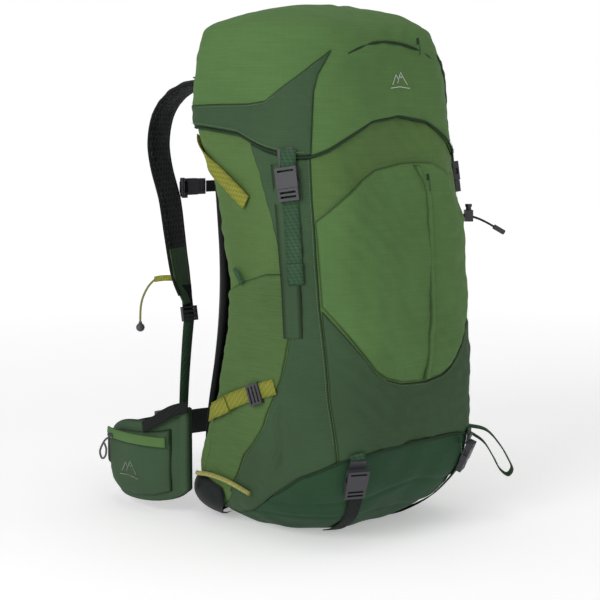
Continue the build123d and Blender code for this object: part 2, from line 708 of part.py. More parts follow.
# Ladder locks at the strap tips, and the webbing from them to the hip wings
tip_y, tip_drop = strap_tip
tip_height = hinge_height + tip_drop
web_foot = (half_width - 25, back_reach + 21, 128.0)     # x, y and height where the webbing is sewn to the bag
web_head = (harness_x, tip_y - 1, tip_height - 15)
strap_lock_pair = []
webbing_pair = []
web_dir = (Vector(*web_head) - Vector(*web_foot)).normalized()
for side, name in sides:
    head = Vector(side * web_head[0], *web_head[1:])
    foot = Vector(side * web_foot[0], *web_foot[1:])
    lock_up = (Vector(side * harness_x, tip_y + 3, tip_height + 9) - head).normalized()
    lock_out = lock_up.cross(Vector(1, 0, 0)).normalized()
    with BuildPart(Plane(origin=head - lock_out * 2.3, x_dir=tuple(lock_up), z_dir=tuple(lock_out))) as strap_lock:
        with Locations((0, 0, 0)):
            Box(20, 26, 4.6, align=(Align.CENTER, Align.CENTER, Align.MIN))
        for slot in (-6, 0, 6):
            with Locations((slot, 0, 0)):
                Box(2.6, webbing_width + 1, 12, mode=Mode.SUBTRACT)
    strap_lock_pair.append(strap_lock.part)

    web_up = (head - foot).normalized()
    web_face = web_up.cross(Vector(1, 0, 0)).normalized()
    with BuildPart(Plane(origin=foot, x_dir=tuple(web_up.cross(web_face)), z_dir=tuple(web_face))) as harness_webbing:
        with Locations((0, 0, 0)):
            Box(webbing_width - 2, (head - foot).length - 14.5, webbing, align=(Align.CENTER, Align.MIN, Align.MIN))
    webbing_pair.append(harness_webbing.part)
finish_pair(strap_lock_pair, "strap_locks")
finish_pair(webbing_pair, "harness_webbing")

lifter_x = harness_x - 8
lifter_line = [(yoke_back + 1.4, hinge_height - 3.4), (150, hinge_height - 2.4), (172, hinge_height - 2.2)]
with BuildPart() as load_lifters:
    for side, name in sides:
        with BuildSketch(Plane.YZ.offset(side * lifter_x - webbing_width / 2)):
            band_outline(lifter_line, webbing)
        extrude(amount=webbing_width)
finish(load_lifters, "load_lifters")

# Chest strap: webbing between the shoulder straps, its buckle near the left strap
chest_height = hinge_height - 136
chest_y = 236.0
chest_left = -harness_x + strap_width / 2 * cos(radians(harness_cant)) + 1.2
chest_socket_x = -50.0
chest_mouth_x = chest_socket_x + socket_length
with BuildPart() as chest_strap:
    with Locations((chest_left, chest_y, chest_height)):
        Box(chest_socket_x - chest_left + 4, webbing, webbing_width - 4, align=(Align.MIN, Align.MIN, Align.CENTER))
    with Locations((chest_mouth_x + 2, chest_y, chest_height)):
        Box(-chest_left - chest_mouth_x - 2, webbing, webbing_width - 4, align=(Align.MIN, Align.MIN, Align.CENTER))
    for side, name in sides:
        with Locations((side * (-chest_left - 3), chest_y - 4, chest_height)):
            Box(6, 8, 24, align=(Align.CENTER, Align.MIN, Align.CENTER))
finish(chest_strap, "chest_strap")

chest_plane = Plane(origin=(chest_mouth_x, chest_y + webbing + 0.4, chest_height), x_dir=(0, 0, -1), z_dir=(0, 1, 0))
with BuildPart(chest_plane) as chest_socket:
    draw_socket(buckle_width - 4)
    with Locations((buckle_width / 2 - 3, 16.5, buckle_depth / 2)):
        Box(5, 8, 4, align=(Align.MIN, Align.MIN, Align.CENTER))
finish(chest_socket, "chest_socket")
with BuildPart(chest_plane) as chest_clip:
    draw_clip(buckle_width - 4)
finish(chest_clip, "chest_clip")
print("chest clip slides along", -chest_plane.y_dir)

# Pole loop on the left shoulder strap
pole_loop_diameter = 3.0
pole_loop_x = -harness_x - 22
pole_loop_points = [(pole_loop_x, 232, 306), (pole_loop_x, 242, 300), (pole_loop_x, 253, 289), (pole_loop_x, 262, 275),
                    (pole_loop_x, 266, 259), (pole_loop_x, 266, 244)]
pole_loop = BuildPart()
with pole_loop:
    add(rounded_tube(pole_loop_points, pole_loop_diameter, "pole_loop"))
finish(pole_loop, "pole_loop")
with BuildPart() as pole_loop_ball:
    with Locations(pole_loop_points[-1]):
        with Locations((0, 0, -8)):
            Sphere(6)
        Cylinder(2.4, 4, align=(Align.CENTER, Align.CENTER, Align.MAX))
finish(pole_loop_ball, "pole_loop_ball")

# ---------------------------------------------------------------- hip wings and belt

wing_thick = 17.0
wing_line = [(half_width + across, back_reach + behind)     # x and y of the middle
             for across, behind in ((-11, 10), (-1, 38), (2, 73), (-4, 118), (-21, 163))]
wing_side = [(back_reach + behind, height)                  # y and height of the edge
             for behind, height in ((-9, 150), (29, 132), (78, 122), (139, 109), (165, 90), (169, 62), (157, 34),
                                    (118, 12), (66, 14), (13, 24), (-9, 40))]
pocket_line = ((0, 45), (2, 73), (-1, 105), (-7, 129))
belt_line = ((-29, 179), (-47, 195), (-73, 209), (-103, 216))
belt_height = 68.0
belt_width = 38.0
belt_buckle_width = 48.0
belt_y = back_reach + 217
for side, name in sides:
    plan = [(side * x, y) for x, y in wing_line]
    with BuildPart() as hip_wing:
        with BuildSketch(Plane.XY):
            band_outline(plan, wing_thick)
        extrude(amount=160)
        with BuildSketch(Plane.YZ):
            with BuildLine():
                Spline(*wing_side[:6])
                Spline(*wing_side[5:])
                Line(wing_side[-1], wing_side[0])
            make_face()
        extrude(amount=pack_width, both=True, mode=Mode.INTERSECT)
    finish(hip_wing, "hip_wing_" + name)

    pocket_plan = [(side * (half_width + across + wing_thick / 2 + 3.7), back_reach + behind)
                   for across, behind in pocket_line]
    with BuildPart() as hip_pocket:
        with BuildSketch(Plane.XY.offset(28)):
            band_outline(pocket_plan, 7)
        extrude(amount=64)
        add(hip_wing.part, mode=Mode.SUBTRACT)
    finish(hip_pocket, "hip_pocket_" + name)

    pull_plane = Plane(origin=(side * (half_width + wing_thick / 2 + 3.2), back_reach + 129, 95), x_dir=(-0.22, side * 0.975, 0),
                       z_dir=(side * 0.975, 0.22, 0))
    with BuildPart(pull_plane) as hip_pull:
        draw_slider()
    finish(hip_pull, "hip_pull_" + name)

    belt_plan = [(side * (half_width + across), back_reach + behind) for across, behind in belt_line]
    belt_plan.append((side * 12, belt_y))
    with BuildPart() as belt_webbing:
        with BuildSketch(Plane.XY.offset(belt_height - belt_width / 2)):
            band_outline(belt_plan, webbing)
        extrude(amount=belt_width)
    finish(belt_webbing, "belt_webbing_" + name)

belt_plane = Plane(origin=(2, belt_y + webbing + 0.4, belt_height), x_dir=(0, 0, 1), z_dir=(0, 1, 0))
with BuildPart(belt_plane) as belt_socket:
    draw_socket(belt_buckle_width)
finish(belt_socket, "belt_socket")
with BuildPart(belt_plane) as belt_clip:
    draw_clip(belt_buckle_width)
finish(belt_clip, "belt_clip")
print("belt socket runs along", belt_plane.y_dir)
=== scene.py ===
import math
import bpy
import numpy as np
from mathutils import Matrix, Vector
from mathutils.kdtree import KDTree


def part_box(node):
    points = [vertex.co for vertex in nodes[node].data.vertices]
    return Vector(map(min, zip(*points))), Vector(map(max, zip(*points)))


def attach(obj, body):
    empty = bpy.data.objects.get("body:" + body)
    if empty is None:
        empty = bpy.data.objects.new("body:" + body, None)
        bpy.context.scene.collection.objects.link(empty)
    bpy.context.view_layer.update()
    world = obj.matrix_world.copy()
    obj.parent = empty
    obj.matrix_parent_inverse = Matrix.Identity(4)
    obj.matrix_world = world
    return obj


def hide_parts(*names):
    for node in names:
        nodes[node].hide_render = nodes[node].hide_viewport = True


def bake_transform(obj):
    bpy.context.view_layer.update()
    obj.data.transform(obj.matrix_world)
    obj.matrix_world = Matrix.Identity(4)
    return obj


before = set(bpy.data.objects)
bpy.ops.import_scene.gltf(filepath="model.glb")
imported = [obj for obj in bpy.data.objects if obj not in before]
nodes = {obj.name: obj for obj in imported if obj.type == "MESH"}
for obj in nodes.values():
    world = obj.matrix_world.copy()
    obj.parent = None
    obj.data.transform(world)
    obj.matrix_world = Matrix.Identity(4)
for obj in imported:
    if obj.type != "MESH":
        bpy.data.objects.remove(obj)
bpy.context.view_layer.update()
scene = bpy.context.scene
FINE = 1

# ------------------------------------------------------------ camera
target = Vector((-0.030, 0.030, 0.288))
azimuth, elevation, distance = math.radians(-45), math.radians(7), 1.9
level = math.cos(elevation)
eye = target + distance * Vector((math.sin(azimuth) * level, -math.cos(azimuth) * level, math.sin(elevation)))
camera_data = bpy.data.cameras.new("camera")
camera_data.lens = 87.0
camera_data.sensor_width = 36.0
camera = bpy.data.objects.new("camera", camera_data)
camera.location = eye
camera.rotation_euler = (target - eye).to_track_quat("-Z", "Y").to_euler()
scene.collection.objects.link(camera)
scene.camera = camera
scene.view_settings.view_transform = "Standard"


# ------------------------------------------------------------ materials
BAND = 1 / 6.2832          # scale of a wave texture for threads one unit wide


class Nodes:
    """A material's node tree with short calls."""

    def __init__(self, name):
        self.mat = bpy.data.materials.new(name)
        self.mat.use_nodes = True
        self.tree = self.mat.node_tree
        self.shader = self.tree.nodes["Principled BSDF"]
        self.coord = self.add("ShaderNodeTexCoord")

    def add(self, kind, **values):
        node = self.tree.nodes.new(kind)
        for key, value in values.items():
            setattr(node, key, value)
        return node

    def link(self, source, sink):
        self.tree.links.new(source, sink)

    def put(self, sink, value):
        if isinstance(value, bpy.types.NodeSocket):
            self.link(value, sink)
        else:
            sink.default_value = value

    def mapped(self, kind, scale, turn=0.0):
        node = self.add("ShaderNodeMapping")
        self.link(self.coord.outputs[kind], node.inputs["Vector"])
        node.inputs["Scale"].default_value = scale
        node.inputs["Rotation"].default_value = (0, 0, turn)
        return node.outputs["Vector"]

    def noise(self, vector, scale, detail=3.0, rough=0.5):
        node = self.add("ShaderNodeTexNoise")
        self.link(vector, node.inputs["Vector"])
        node.inputs["Scale"].default_value = scale
        node.inputs["Detail"].default_value = detail
        node.inputs["Roughness"].default_value = rough
        return node.outputs["Fac"]

    def wave(self, vector, direction="X", distort=0.0):
        node = self.add("ShaderNodeTexWave", wave_type="BANDS", bands_direction=direction)
        self.link(vector, node.inputs["Vector"])
        node.inputs["Scale"].default_value = 1.0
        node.inputs["Distortion"].default_value = distort
        return node.outputs["Fac"]

    def math(self, operation, a, b):
        node = self.add("ShaderNodeMath", operation=operation)
        self.put(node.inputs[0], a)
        self.put(node.inputs[1], b)
        return node.outputs[0]

    def times(self, first, *others):
        for other in others:
            first = self.math("MULTIPLY", first, other)
        return first

    def span(self, value, low, high, out_low=0.0, out_high=1.0):
        node = self.add("ShaderNodeMapRange")
        self.put(node.inputs[0], value)
        for index, number in enumerate((low, high, out_low, out_high)):
            node.inputs[index + 1].default_value = number
        return node.outputs[0]

    def mix(self, share, a, b):
        node = self.add("ShaderNodeMix", data_type="RGBA")
        self.put(node.inputs[0], share)
        self.put(node.inputs[6], a)
        self.put(node.inputs[7], b)
        return node.outputs[2]

    def vector(self, operation, value, other=None):
        node = self.add("ShaderNodeVectorMath", operation=operation)
        self.link(value, node.inputs[0])
        if other is not None:
            node.inputs[1].default_value = other
        return node.outputs["Value" if operation == "LENGTH" else "Vector"]

    def toned(self, colour, tone):
        """A colour times a tone."""
        node = self.add("ShaderNodeVectorMath", operation="SCALE")
        node.inputs[0].default_value = colour
        self.link(tone, node.inputs["Scale"])
        return node.outputs[0]

    def seam_shade(self, darkest):
        """Painted shade: 1 on the open cloth, down to the darkest value on a piece's sewn border, where the
        seam's groove lies in shadow.
        """
        seam = self.add("ShaderNodeAttribute", attribute_name="seam")
        return self.span(seam.outputs["Fac"], 0.0, 1.0, darkest, 1.0)

    def bump(self, height, strength, reach, below=None):
        node = self.add("ShaderNodeBump")
        self.link(height, node.inputs["Height"])
        node.inputs["Strength"].default_value = strength
        node.inputs["Distance"].default_value = reach
        if below is not None:
            self.link(below, node.inputs["Normal"])
        return node.outputs["Normal"]

    def done(self, colour, rough, normal=None, sheen=0.0, tint=None, specular=0.35, metallic=0.0):
        self.put(self.shader.inputs["Base Color"], colour)
        self.put(self.shader.inputs["Roughness"], rough)
        self.shader.inputs["Sheen Weight"].default_value = sheen
        self.shader.inputs["Sheen Roughness"].default_value = 0.5
        if tint:
            self.shader.inputs["Sheen Tint"].default_value = (*tint, 1)
        self.shader.inputs["Specular IOR Level"].default_value = specular
        self.shader.inputs["Metallic"].default_value = metallic
        if normal is not None:
            self.link(normal, self.shader.inputs["Normal"])
        return self.mat


def rgba(colour, gain=1.0):
    return (*[min(1.0, channel * gain) for channel in colour], 1.0)


def halo(colour):
    """Tint of the cloth's sheen."""
    return [min(1, 4 * channel + 0.05) for channel in colour]


def nylon(name, colour, streak=0.5, ripstop=0.25, rough=0.72, sheen=0.06, vary=0.10, weave=0.0011):
    """Woven nylon: fine plain weave, a ripstop grid, slubs along the weft, worn, dusty places, and painted
    shade along sewn borders.
    """
    n = Nodes(name)
    grid_size = 0.0052
    uv = n.mapped("UV", (1, 1, 1))
    place = n.mapped("Object", (1, 1, 1))
    broad = n.noise(place, 7.0, 4.0)
    dust = n.noise(place, 46.0, 5.0, 0.65)
    slub = n.noise(n.mapped("UV", (16, 900, 1)), 1.0, 3.0, 0.7)
    warp = n.wave(n.mapped("UV", (BAND / weave, 0, 0)), "X")
    weft = n.wave(n.mapped("UV", (0, BAND / weave, 0)), "Y")
    threads = n.times(warp, weft)
    grid_u = n.span(n.wave(n.mapped("UV", (BAND / grid_size, 0, 0)), "X"), 0.90, 0.99)
    grid_v = n.span(n.wave(n.mapped("UV", (0, BAND / grid_size, 0)), "Y"), 0.90, 0.99)
    grid = n.math("MAXIMUM", grid_u, grid_v)
    tone = n.times(n.span(broad, 0.3, 0.7, 1 - vary, 1 + vary),
                   n.span(slub, 0.30, 0.70, 1 - 0.16 * streak, 1 + 0.16 * streak),
                   n.span(grid, 0, 1, 1.0, 1.0 + 0.22 * ripstop),
                   n.span(threads, 0, 1, 0.94, 1.06),
                   n.seam_shade(0.30))
    pale = rgba([0.7 * channel + 0.06 for channel in colour])
    shade = n.mix(n.span(dust, 0.56, 0.80, 0.0, 0.09), n.toned(colour, tone), pale)
    height = n.math("ADD", n.times(threads, 0.5), n.times(grid, ripstop))
    height = n.math("ADD", height, n.times(slub, 0.8 * streak))
    normal = n.bump(height, 0.30, 0.0005)
    normal = n.bump(n.noise(uv, 26.0, 4.0, 0.6), 0.18, 0.004, normal)
    roughness = n.span(dust, 0.3, 0.7, rough - 0.07, rough + 0.08)
    return n.done(shade, roughness, normal, sheen, halo(colour), 0.2)


def webbing(name, colour, ribs=0.0016):
    """Flat woven webbing: herringbone ribs across it, bound edges darkened with painted shade, and fuzz."""
    n = Nodes(name)
    chevron = n.wave(n.mapped("UV", (BAND / ribs, BAND / (2 * ribs), 1)), "DIAGONAL")
    thread = n.wave(n.mapped("UV", (0, BAND / 0.0021, 0)), "Y", 0.6)
    rib = n.math("ADD", n.times(chevron, 0.5), n.times(thread, 0.5))
    broad = n.noise(n.mapped("Object", (1, 1, 1)), 30.0, 4.0)
    tone = n.times(n.span(rib, 0, 1, 0.72, 1.18), n.span(broad, 0.3, 0.7, 0.9, 1.1), n.seam_shade(0.8))
    return n.done(n.toned(colour, tone), 0.8, n.bump(rib, 0.55, 0.0006), 0.08, halo(colour), 0.15)


def plastic(name, colour, rough=0.42):
    """Moulded acetal: fine spark texture, and scuffs that are lighter and rougher."""
    n = Nodes(name)
    spark = n.noise(n.mapped("Object", (1, 1, 1)), 1400.0, 2.0)
    scuff = n.noise(n.mapped("Object", (60, 60, 340)), 6.0, 5.0, 0.7)
    shade = n.mix(n.span(scuff, 0.55, 0.8, 0, 0.5), rgba(colour), rgba([c * 1.7 + 0.01 for c in colour]))
    normal = n.bump(spark, 0.22, 0.0004)
    return n.done(shade, n.span(scuff, 0.3, 0.8, rough - 0.06, rough + 0.16), normal, 0.0, None, 0.5)


def hex_mesh(name, colour, cell):
    """Spacer mesh: hexagonal openings in a knit, painted darker inside as the shade in the openings."""
    n = Nodes(name)
    flat = n.mapped("UV", (1 / cell, 1 / cell, 0))
    row = math.sqrt(3)
    period, centre, far_off = (1.0, row, 1.0), (0.5, row / 2, 0.0), 40
    halves = []
    for shift in (0.0, 0.5):
        moved = n.vector("ADD", flat, (shift + far_off, (shift + far_off) * row, 0))
        wrapped_in = n.vector("MODULO", moved, period)
        halves.append(n.vector("LENGTH", n.vector("SUBTRACT", wrapped_in, centre)))
    rim = n.span(n.math("MINIMUM", *halves), 0.30, 0.40)
    broad = n.noise(n.mapped("Object", (1, 1, 1)), 22.0, 3.0)
    knit = n.wave(n.mapped("UV", (BAND / 0.0008, BAND / 0.0008, 1)), "DIAGONAL")
    solid = n.mix(n.span(knit, 0, 1, 0.0, 0.5), rgba(colour), rgba(colour, 1.9))
    # Painted shade: the openings are a quarter of the knit's colour.
    shade = n.mix(rim, rgba(colour, 0.25), solid)
    dusty = rgba([channel * 2 + 0.012 for channel in colour])
    shade = n.mix(n.span(broad, 0.35, 0.75, 0.0, 0.25), shade, dusty)
    return n.done(shade, 0.82, n.bump(rim, 0.9, 0.0014), 0.06, (0.5, 0.55, 0.5), 0.15)


def coated_steel():
    """Spring steel wire with a dark coat and faint drawing marks."""
    n = Nodes("wire_steel")
    drawn = n.noise(n.mapped("Object", (900, 900, 40)), 1.0, 3.0)
    shade = n.mix(n.span(drawn, 0.3, 0.7), (0.014, 0.015, 0.015, 1), (0.026, 0.027, 0.028, 1))
    return n.done(shade, n.span(drawn, 0.3, 0.7, 0.38, 0.52), n.bump(drawn, 0.1, 0.0002), 0.0, None, 0.4)


light_nylon = nylon("light_nylon", (0.078, 0.158, 0.047), 0.6, 0.15)
# Painted shade: the same green nylon as light_nylon, made darker for the main bag's shell.
shaded_green_nylon = nylon("shaded_green_nylon", (0.078, 0.144, 0.041), 0.6, 0.15)
dark_nylon = nylon("dark_nylon", (0.040, 0.078, 0.036), 0.35, 0.1, 0.78, 0.05)
deep_nylon = nylon("deep_nylon", (0.017, 0.056, 0.024), 0.35, 0.1, 0.7, 0.05)
inner_nylon = nylon("inner_nylon", (0.10, 0.13, 0.10), 0.2, 0.7)
stretch_cloth = nylon("stretch_cloth", (0.070, 0.130, 0.039), 1.0, 0.0, 0.8, 0.08, 0.08, 0.0019)
base_cloth = nylon("base_cloth", (0.006, 0.009, 0.009), 0.3, 0.3, 0.55, 0.03)
black_cloth = nylon("black_cloth", (0.008, 0.009, 0.009), 0.3, 0.1, 0.8, 0.03)
wing_cloth = nylon("wing_cloth", (0.042, 0.082, 0.040), 0.35, 0.1, 0.75, 0.06)
piping_cloth = nylon("piping_cloth", (0.016, 0.036, 0.016), 0.2, 0.0, 0.8)
thread_cloth = nylon("thread_cloth", (0.10, 0.17, 0.075), 0.0, 0.0, 0.7, 0.1, 0.1, 0.0004)
lime_webbing = webbing("lime_webbing", (0.212, 0.222, 0.034))
dark_webbing = webbing("dark_webbing", (0.036, 0.080, 0.042))
black_webbing = webbing("black_webbing", (0.012, 0.014, 0.014))
lime_cord = webbing("lime_cord", (0.33, 0.32, 0.10), 0.0011)
grey_cord = webbing("grey_cord", (0.045, 0.050, 0.055), 0.0011)
buckle_plastic = plastic("buckle_plastic", (0.030, 0.030, 0.036))
pull_plastic = plastic("pull_plastic", (0.060, 0.062, 0.066), 0.5)
strap_mesh = hex_mesh("strap_mesh", (0.016, 0.018, 0.018), 0.0085)
panel_mesh = hex_mesh("panel_mesh", (0.012, 0.013, 0.013), 0.0040)
mark_cloth = nylon("mark_cloth", (0.45, 0.52, 0.42), 0.0, 0.0, 0.6, 0.1, 0.04, 0.0004)
wire_steel = coated_steel()


# ------------------------------------------------------------ cords
def cord_curve(name, points, diameter, material):
    """Smooth cord whose control points are given in metres."""
    data = bpy.data.curves.new(name, "CURVE")
    data.dimensions = "3D"
    spline = data.splines.new("NURBS")
    spline.points.add(len(points) - 1)
    for point, place in zip(spline.points, points):
        point.co = (*place, 1.0)
    spline.order_u = 3
    spline.use_endpoint_u = True
    data.resolution_u = 16
    data.bevel_depth = diameter / 2
    data.bevel_resolution = 5
    data.use_fill_caps = True
    obj = bpy.data.objects.new(name, data)
    scene.collection.objects.link(obj)
    data.materials.append(material)
    return obj


def place_in_mm(points):
    return [tuple(channel / 1000 for channel in point) for point in points]


# ------------------------------------------------------------ the skin of the bag
HEIGHT, HALF, FRONT, BACK = 0.662, 0.157, 0.150, 0.127
OUTLINE = np.array([
    (0.000, 0.57, 0.35, 0.91, 82, 60), (0.018, 0.71, 0.53, 0.95, 84, 60), (0.060, 0.86, 0.77, 1.00, 84, 48),
    (0.121, 0.94, 0.94, 0.95, 82, 38), (0.186, 0.96, 1.00, 0.76, 82, 32), (0.302, 0.99, 0.99, 0.48, 85, 30),
    (0.453, 1.00, 0.93, 0.34, 88, 30), (0.604, 1.00, 0.86, 0.47, 90, 30), (0.710, 1.00, 0.79, 0.65, 92, 30),
    (0.773, 0.99, 0.75, 0.84, 94, 30), (0.876, 0.97, 0.68, 0.88, 97, 36), (0.952, 0.92, 0.59, 0.85, 94, 46),
    (0.985, 0.73, 0.41, 0.66, 78, 54), (1.000, 0.42, 0.17, 0.41, 38, 38)])
STATION = OUTLINE[:, 0] * HEIGHT


def smooth_row(values):
    """Monotone cubic through the outline's stations."""
    step = np.diff(STATION)
    slope = np.diff(values) / step
    tangent = np.zeros_like(values)
    tangent[0], tangent[-1] = slope[0], slope[-1]
    same = slope[:-1] * slope[1:] > 0
    inner = np.zeros_like(slope[:-1])
    inner[same] = 2 * slope[:-1][same] * slope[1:][same] / (slope[:-1][same] + slope[1:][same])
    tangent[1:-1] = inner

    def at(z):
        z = np.clip(z, 0, HEIGHT)
        k = np.clip(np.searchsorted(STATION, z, side="right") - 1, 0, len(step) - 1)
        t = (z - STATION[k]) / step[k]
        h = step[k]
        return ((1 + 2 * t) * (1 - t) ** 2 * values[k] + t * (1 - t) ** 2 * h * tangent[k]
                + t * t * (3 - 2 * t) * values[k + 1] + t * t * (t - 1) * h * tangent[k + 1])
    return at


rows_at = [smooth_row(OUTLINE[:, 1] * HALF), smooth_row(-OUTLINE[:, 2] * FRONT),
           smooth_row(OUTLINE[:, 3] * BACK),
           smooth_row(OUTLINE[:, 4] / 1000), smooth_row(OUTLINE[:, 5] / 1000)]


def section(z):
    return [row(np.asarray(z, float)) for row in rows_at]


def runs(z):
    """Lengths of the front half, front corner, side, back corner and back half at a height."""
    half, front, back, rf, rb = section(z)
    return half - rf, rf * math.pi / 2, (back - rb) - (front + rf), rb * math.pi / 2, half - rb


def turn_of(s, z):
    """Chart place 0..5 of an arc length s from the front's middle; each whole number is a run's end."""
    s = np.asarray(s, float)
    left = np.abs(s)
    place = np.zeros(np.broadcast(s, z).shape)
    for length in runs(z):
        part = np.clip(left / length, 0, 1)
        place = place + part
        left = np.maximum(left - length, 0)
    return np.sign(s) * place


def skin(c, z):
    """Points on the bag's skin at chart places c and heights z."""
    c, z = np.broadcast_arrays(np.asarray(c, float), np.asarray(z, float))
    half, front, back, rf, rb = section(z)
    a = np.abs(c)
    part = [np.clip(a - k, 0, 1) for k in range(5)]
    turn_front = part[1] * math.pi / 2
    turn_back = part[3] * math.pi / 2
    x = (half - rf) * part[0] + rf * np.sin(turn_front) - rb * (1 - np.cos(turn_back)) - (half - rb) * part[4]
    straight = (back - rb) - (front + rf)
    y = front + rf * (1 - np.cos(turn_front)) + straight * part[2] + rb * np.sin(turn_back)
    return np.stack([np.sign(c) * x, y, z], -1)


def skin_normal(c, z):
    e, d = 0.004, 0.0015
    across = skin(c + e, z) - skin(c - e, z)
    up = skin(c, np.minimum(z + d, HEIGHT)) - skin(c, np.maximum(z - d, 0))
    normal = np.cross(across, up)
    return normal / np.maximum(np.linalg.norm(normal, axis=-1, keepdims=True), 1e-12)


def waves(points, period, seed, stretch=(1, 1, 1), count=14):
    """Smooth seeded noise about -1..1 with a typical period in metres."""
    rng = np.random.default_rng(seed)
    heading = rng.normal(size=(count, 3))
    heading /= np.linalg.norm(heading, axis=1, keepdims=True)
    size = 2 * math.pi / period * rng.uniform(0.6, 1.5, count)
    phase = rng.uniform(0, 2 * math.pi, count)
    flat = np.asarray(points) * np.array(stretch)
    total = np.zeros(flat.shape[:-1])
    for direction, k, shift in zip(heading, size, phase):
        total += np.sin(flat @ direction * k + shift)
    return total / math.sqrt(count)


def curve_z(pairs):
    """Height as a smooth function of s from pairs in millimetres."""
    table = np.array(pairs, float) / 1000
    dense = np.linspace(table[0, 0], table[-1, 0], 400)
    line = np.interp(dense, table[:, 0], table[:, 1])
    width = max(3, int(0.012 / (dense[1] - dense[0])))
    kernel = np.hanning(width + 2)
    kernel /= kernel.sum()
    padded = np.concatenate([2 * line[0] - line[1:width + 1][::-1], line,
                             2 * line[-1] - line[-width - 1:-1][::-1]])
    smooth = np.convolve(padded, kernel, "same")[width:-width]
    return lambda s: np.interp(s, dense, smooth)


def curve_s(pairs):
    """Arc length as a smooth function of height from (s, z) pairs in millimetres."""
    flipped = sorted((z, s) for s, z in pairs)
    return curve_z(flipped)


def grid_faces(rows, columns, loop=False):
    index = np.arange(rows * columns).reshape(rows, columns)
    if loop:
        index = np.concatenate([index, index[:, :1]], 1)
    return np.stack([index[:-1, :-1], index[:-1, 1:], index[1:, 1:], index[1:, :-1]], -1).reshape(-1, 4)


def capped_faces(rows, columns):
    """Faces of a closed tube of rings with both ends filled."""
    faces = [list(face) for face in grid_faces(rows, columns, True)]
    return faces + [list(range(columns))[::-1], [(rows - 1) * columns + k for k in range(columns)]]


def arc_lengths(line):
    """Distance of each point along a line, from its start."""
    return np.concatenate([[0], np.cumsum(np.linalg.norm(np.diff(line, axis=0), axis=1))])


def unit(rows):
    return rows / np.maximum(np.linalg.norm(rows, axis=-1, keepdims=True), 1e-12)


def make_mesh(name, points, faces, material, uv=None, seam=None, smooth=True):
    mesh = bpy.data.meshes.new(name)
    mesh.from_pydata(np.asarray(points).reshape(-1, 3).tolist(), [], [list(map(int, face)) for face in faces])
    if uv is not None:
        layer = mesh.uv_layers.new(name="UVMap")
        loops = np.empty(len(mesh.loops), int)
        mesh.loops.foreach_get("vertex_index", loops)
        layer.data.foreach_set("uv", np.asarray(uv, float).reshape(-1, 2)[loops].ravel())
    # The seam attribute: 0 on a piece's sewn border, 1 elsewhere; the materials paint shade where it is low.
    attribute = mesh.attributes.new("seam", "FLOAT", "POINT")
    values = np.ones(len(mesh.vertices)) if seam is None else np.asarray(seam, float).ravel()
    attribute.data.foreach_set("value", values)
    mesh.materials.append(material)
    if smooth:
        mesh.polygons.foreach_set("use_smooth", [True] * len(mesh.polygons))
    mesh.update()
    obj = bpy.data.objects.new(name, mesh)
    scene.collection.objects.link(obj)
    return obj


def finish_piece(obj, body, slot, *replaced):
    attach(obj, body)
    if replaced:
        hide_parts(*replaced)
    return obj


def distances(points, others):
    """Distance of each grid point to the nearest of the others."""
    tree = KDTree(len(others))
    for k, place in enumerate(others):
        tree.insert(place, k)
    tree.balance()
    return np.array([tree.find(place)[2] for place in points.reshape(-1, 3)]).reshape(points.shape[:-1])


def border_distance(points):
    """Distance of each grid point to the grid's border."""
    return distances(points, np.concatenate([points[0], points[-1], points[:, 0], points[:, -1]]))


def groove(points, line, depth, width):
    """Depth to sink points by beside a line of points."""
    return depth * np.exp(-(distances(points, line) / width) ** 2)


def pillow(distance_in, reach):
    """0 on a border rising to 1 past the reach, as a rounded sewn edge does."""
    t = np.clip(distance_in / reach, 0, 1)
    return np.sqrt(np.clip(1 - (1 - t) ** 2, 0, 1))


def fabric_panel(name, C, Z, material, lift=0.0008, puff=0.001, reach=0.012, sink=0.0006, wobble=0.0006,
                 period=0.07, pucker=0.00025, seed=1, extra=None, under=None):
    """Sewn panel over the skin: tucked in at its border, proud in its middle, puckered along the seam."""
    base = skin(C, Z)
    normal = skin_normal(C, Z)
    inside = border_distance(base)
    edge = pillow(inside, 0.0022)
    height = -sink + (lift + sink) * edge + puff * pillow(inside, reach)
    height += wobble * waves(base, period, seed) * pillow(inside, 0.02)
    height += pucker * waves(base, 0.0075, seed + 50) * np.exp(-inside / 0.007) * edge
    if extra is not None:
        height = height + extra(base, C, Z, inside)
    if under is not None:
        height = height + under(base, C, Z)
    points = base + normal * height[..., None]
    s = np.concatenate([np.zeros((len(C), 1)), np.cumsum(np.linalg.norm(np.diff(base, axis=1), axis=-1), 1)],
                       1)
    uv = np.stack([s + base[:, :1, 0], Z], -1)
    # Its seam attribute rises from 0 on the border to 1 at 3 mm in; the materials paint shade where it is
    # low.
    return make_mesh(name, points, grid_faces(*C.shape), material, uv, np.clip(inside / 0.0030, 0, 1))

# Seam lines: arc length from the front's middle, and height, in millimetres
LID_EDGE = [(0, 526), (52, 519), (90, 500), (118, 485), (138, 478), (160, 477), (196, 487), (236, 504),
            (304, 512), (326, 513), (336, 558), (346, 566), (620, 566)]
BOTTOM_SEAM = [(0, 123), (62, 123), (120, 116), (172, 90), (204, 57), (216, 14), (620, 10)]
FRONT_SEAM = [(138, 484), (142, 428), (144, 357), (144, 301), (140, 190), (129, 116)]
DARK_EDGE = [(223, 503), (207, 450), (196, 379), (182, 308), (184, 266), (201, 210), (241, 141), (272, 102),
             (276, 65), (262, 25)]


def as_turn(pairs, shift=0.0):
    """The seam line as height over the absolute chart place."""
    line = curve_z(pairs)
    s = np.linspace(pairs[0][0], pairs[-1][0], 900) / 1000
    z = line(s) + shift
    c = turn_of(s, z)
    keep = np.concatenate([[True], np.diff(c) > 1e-6])
    return lambda place: np.interp(np.abs(place), c[keep], z[keep])


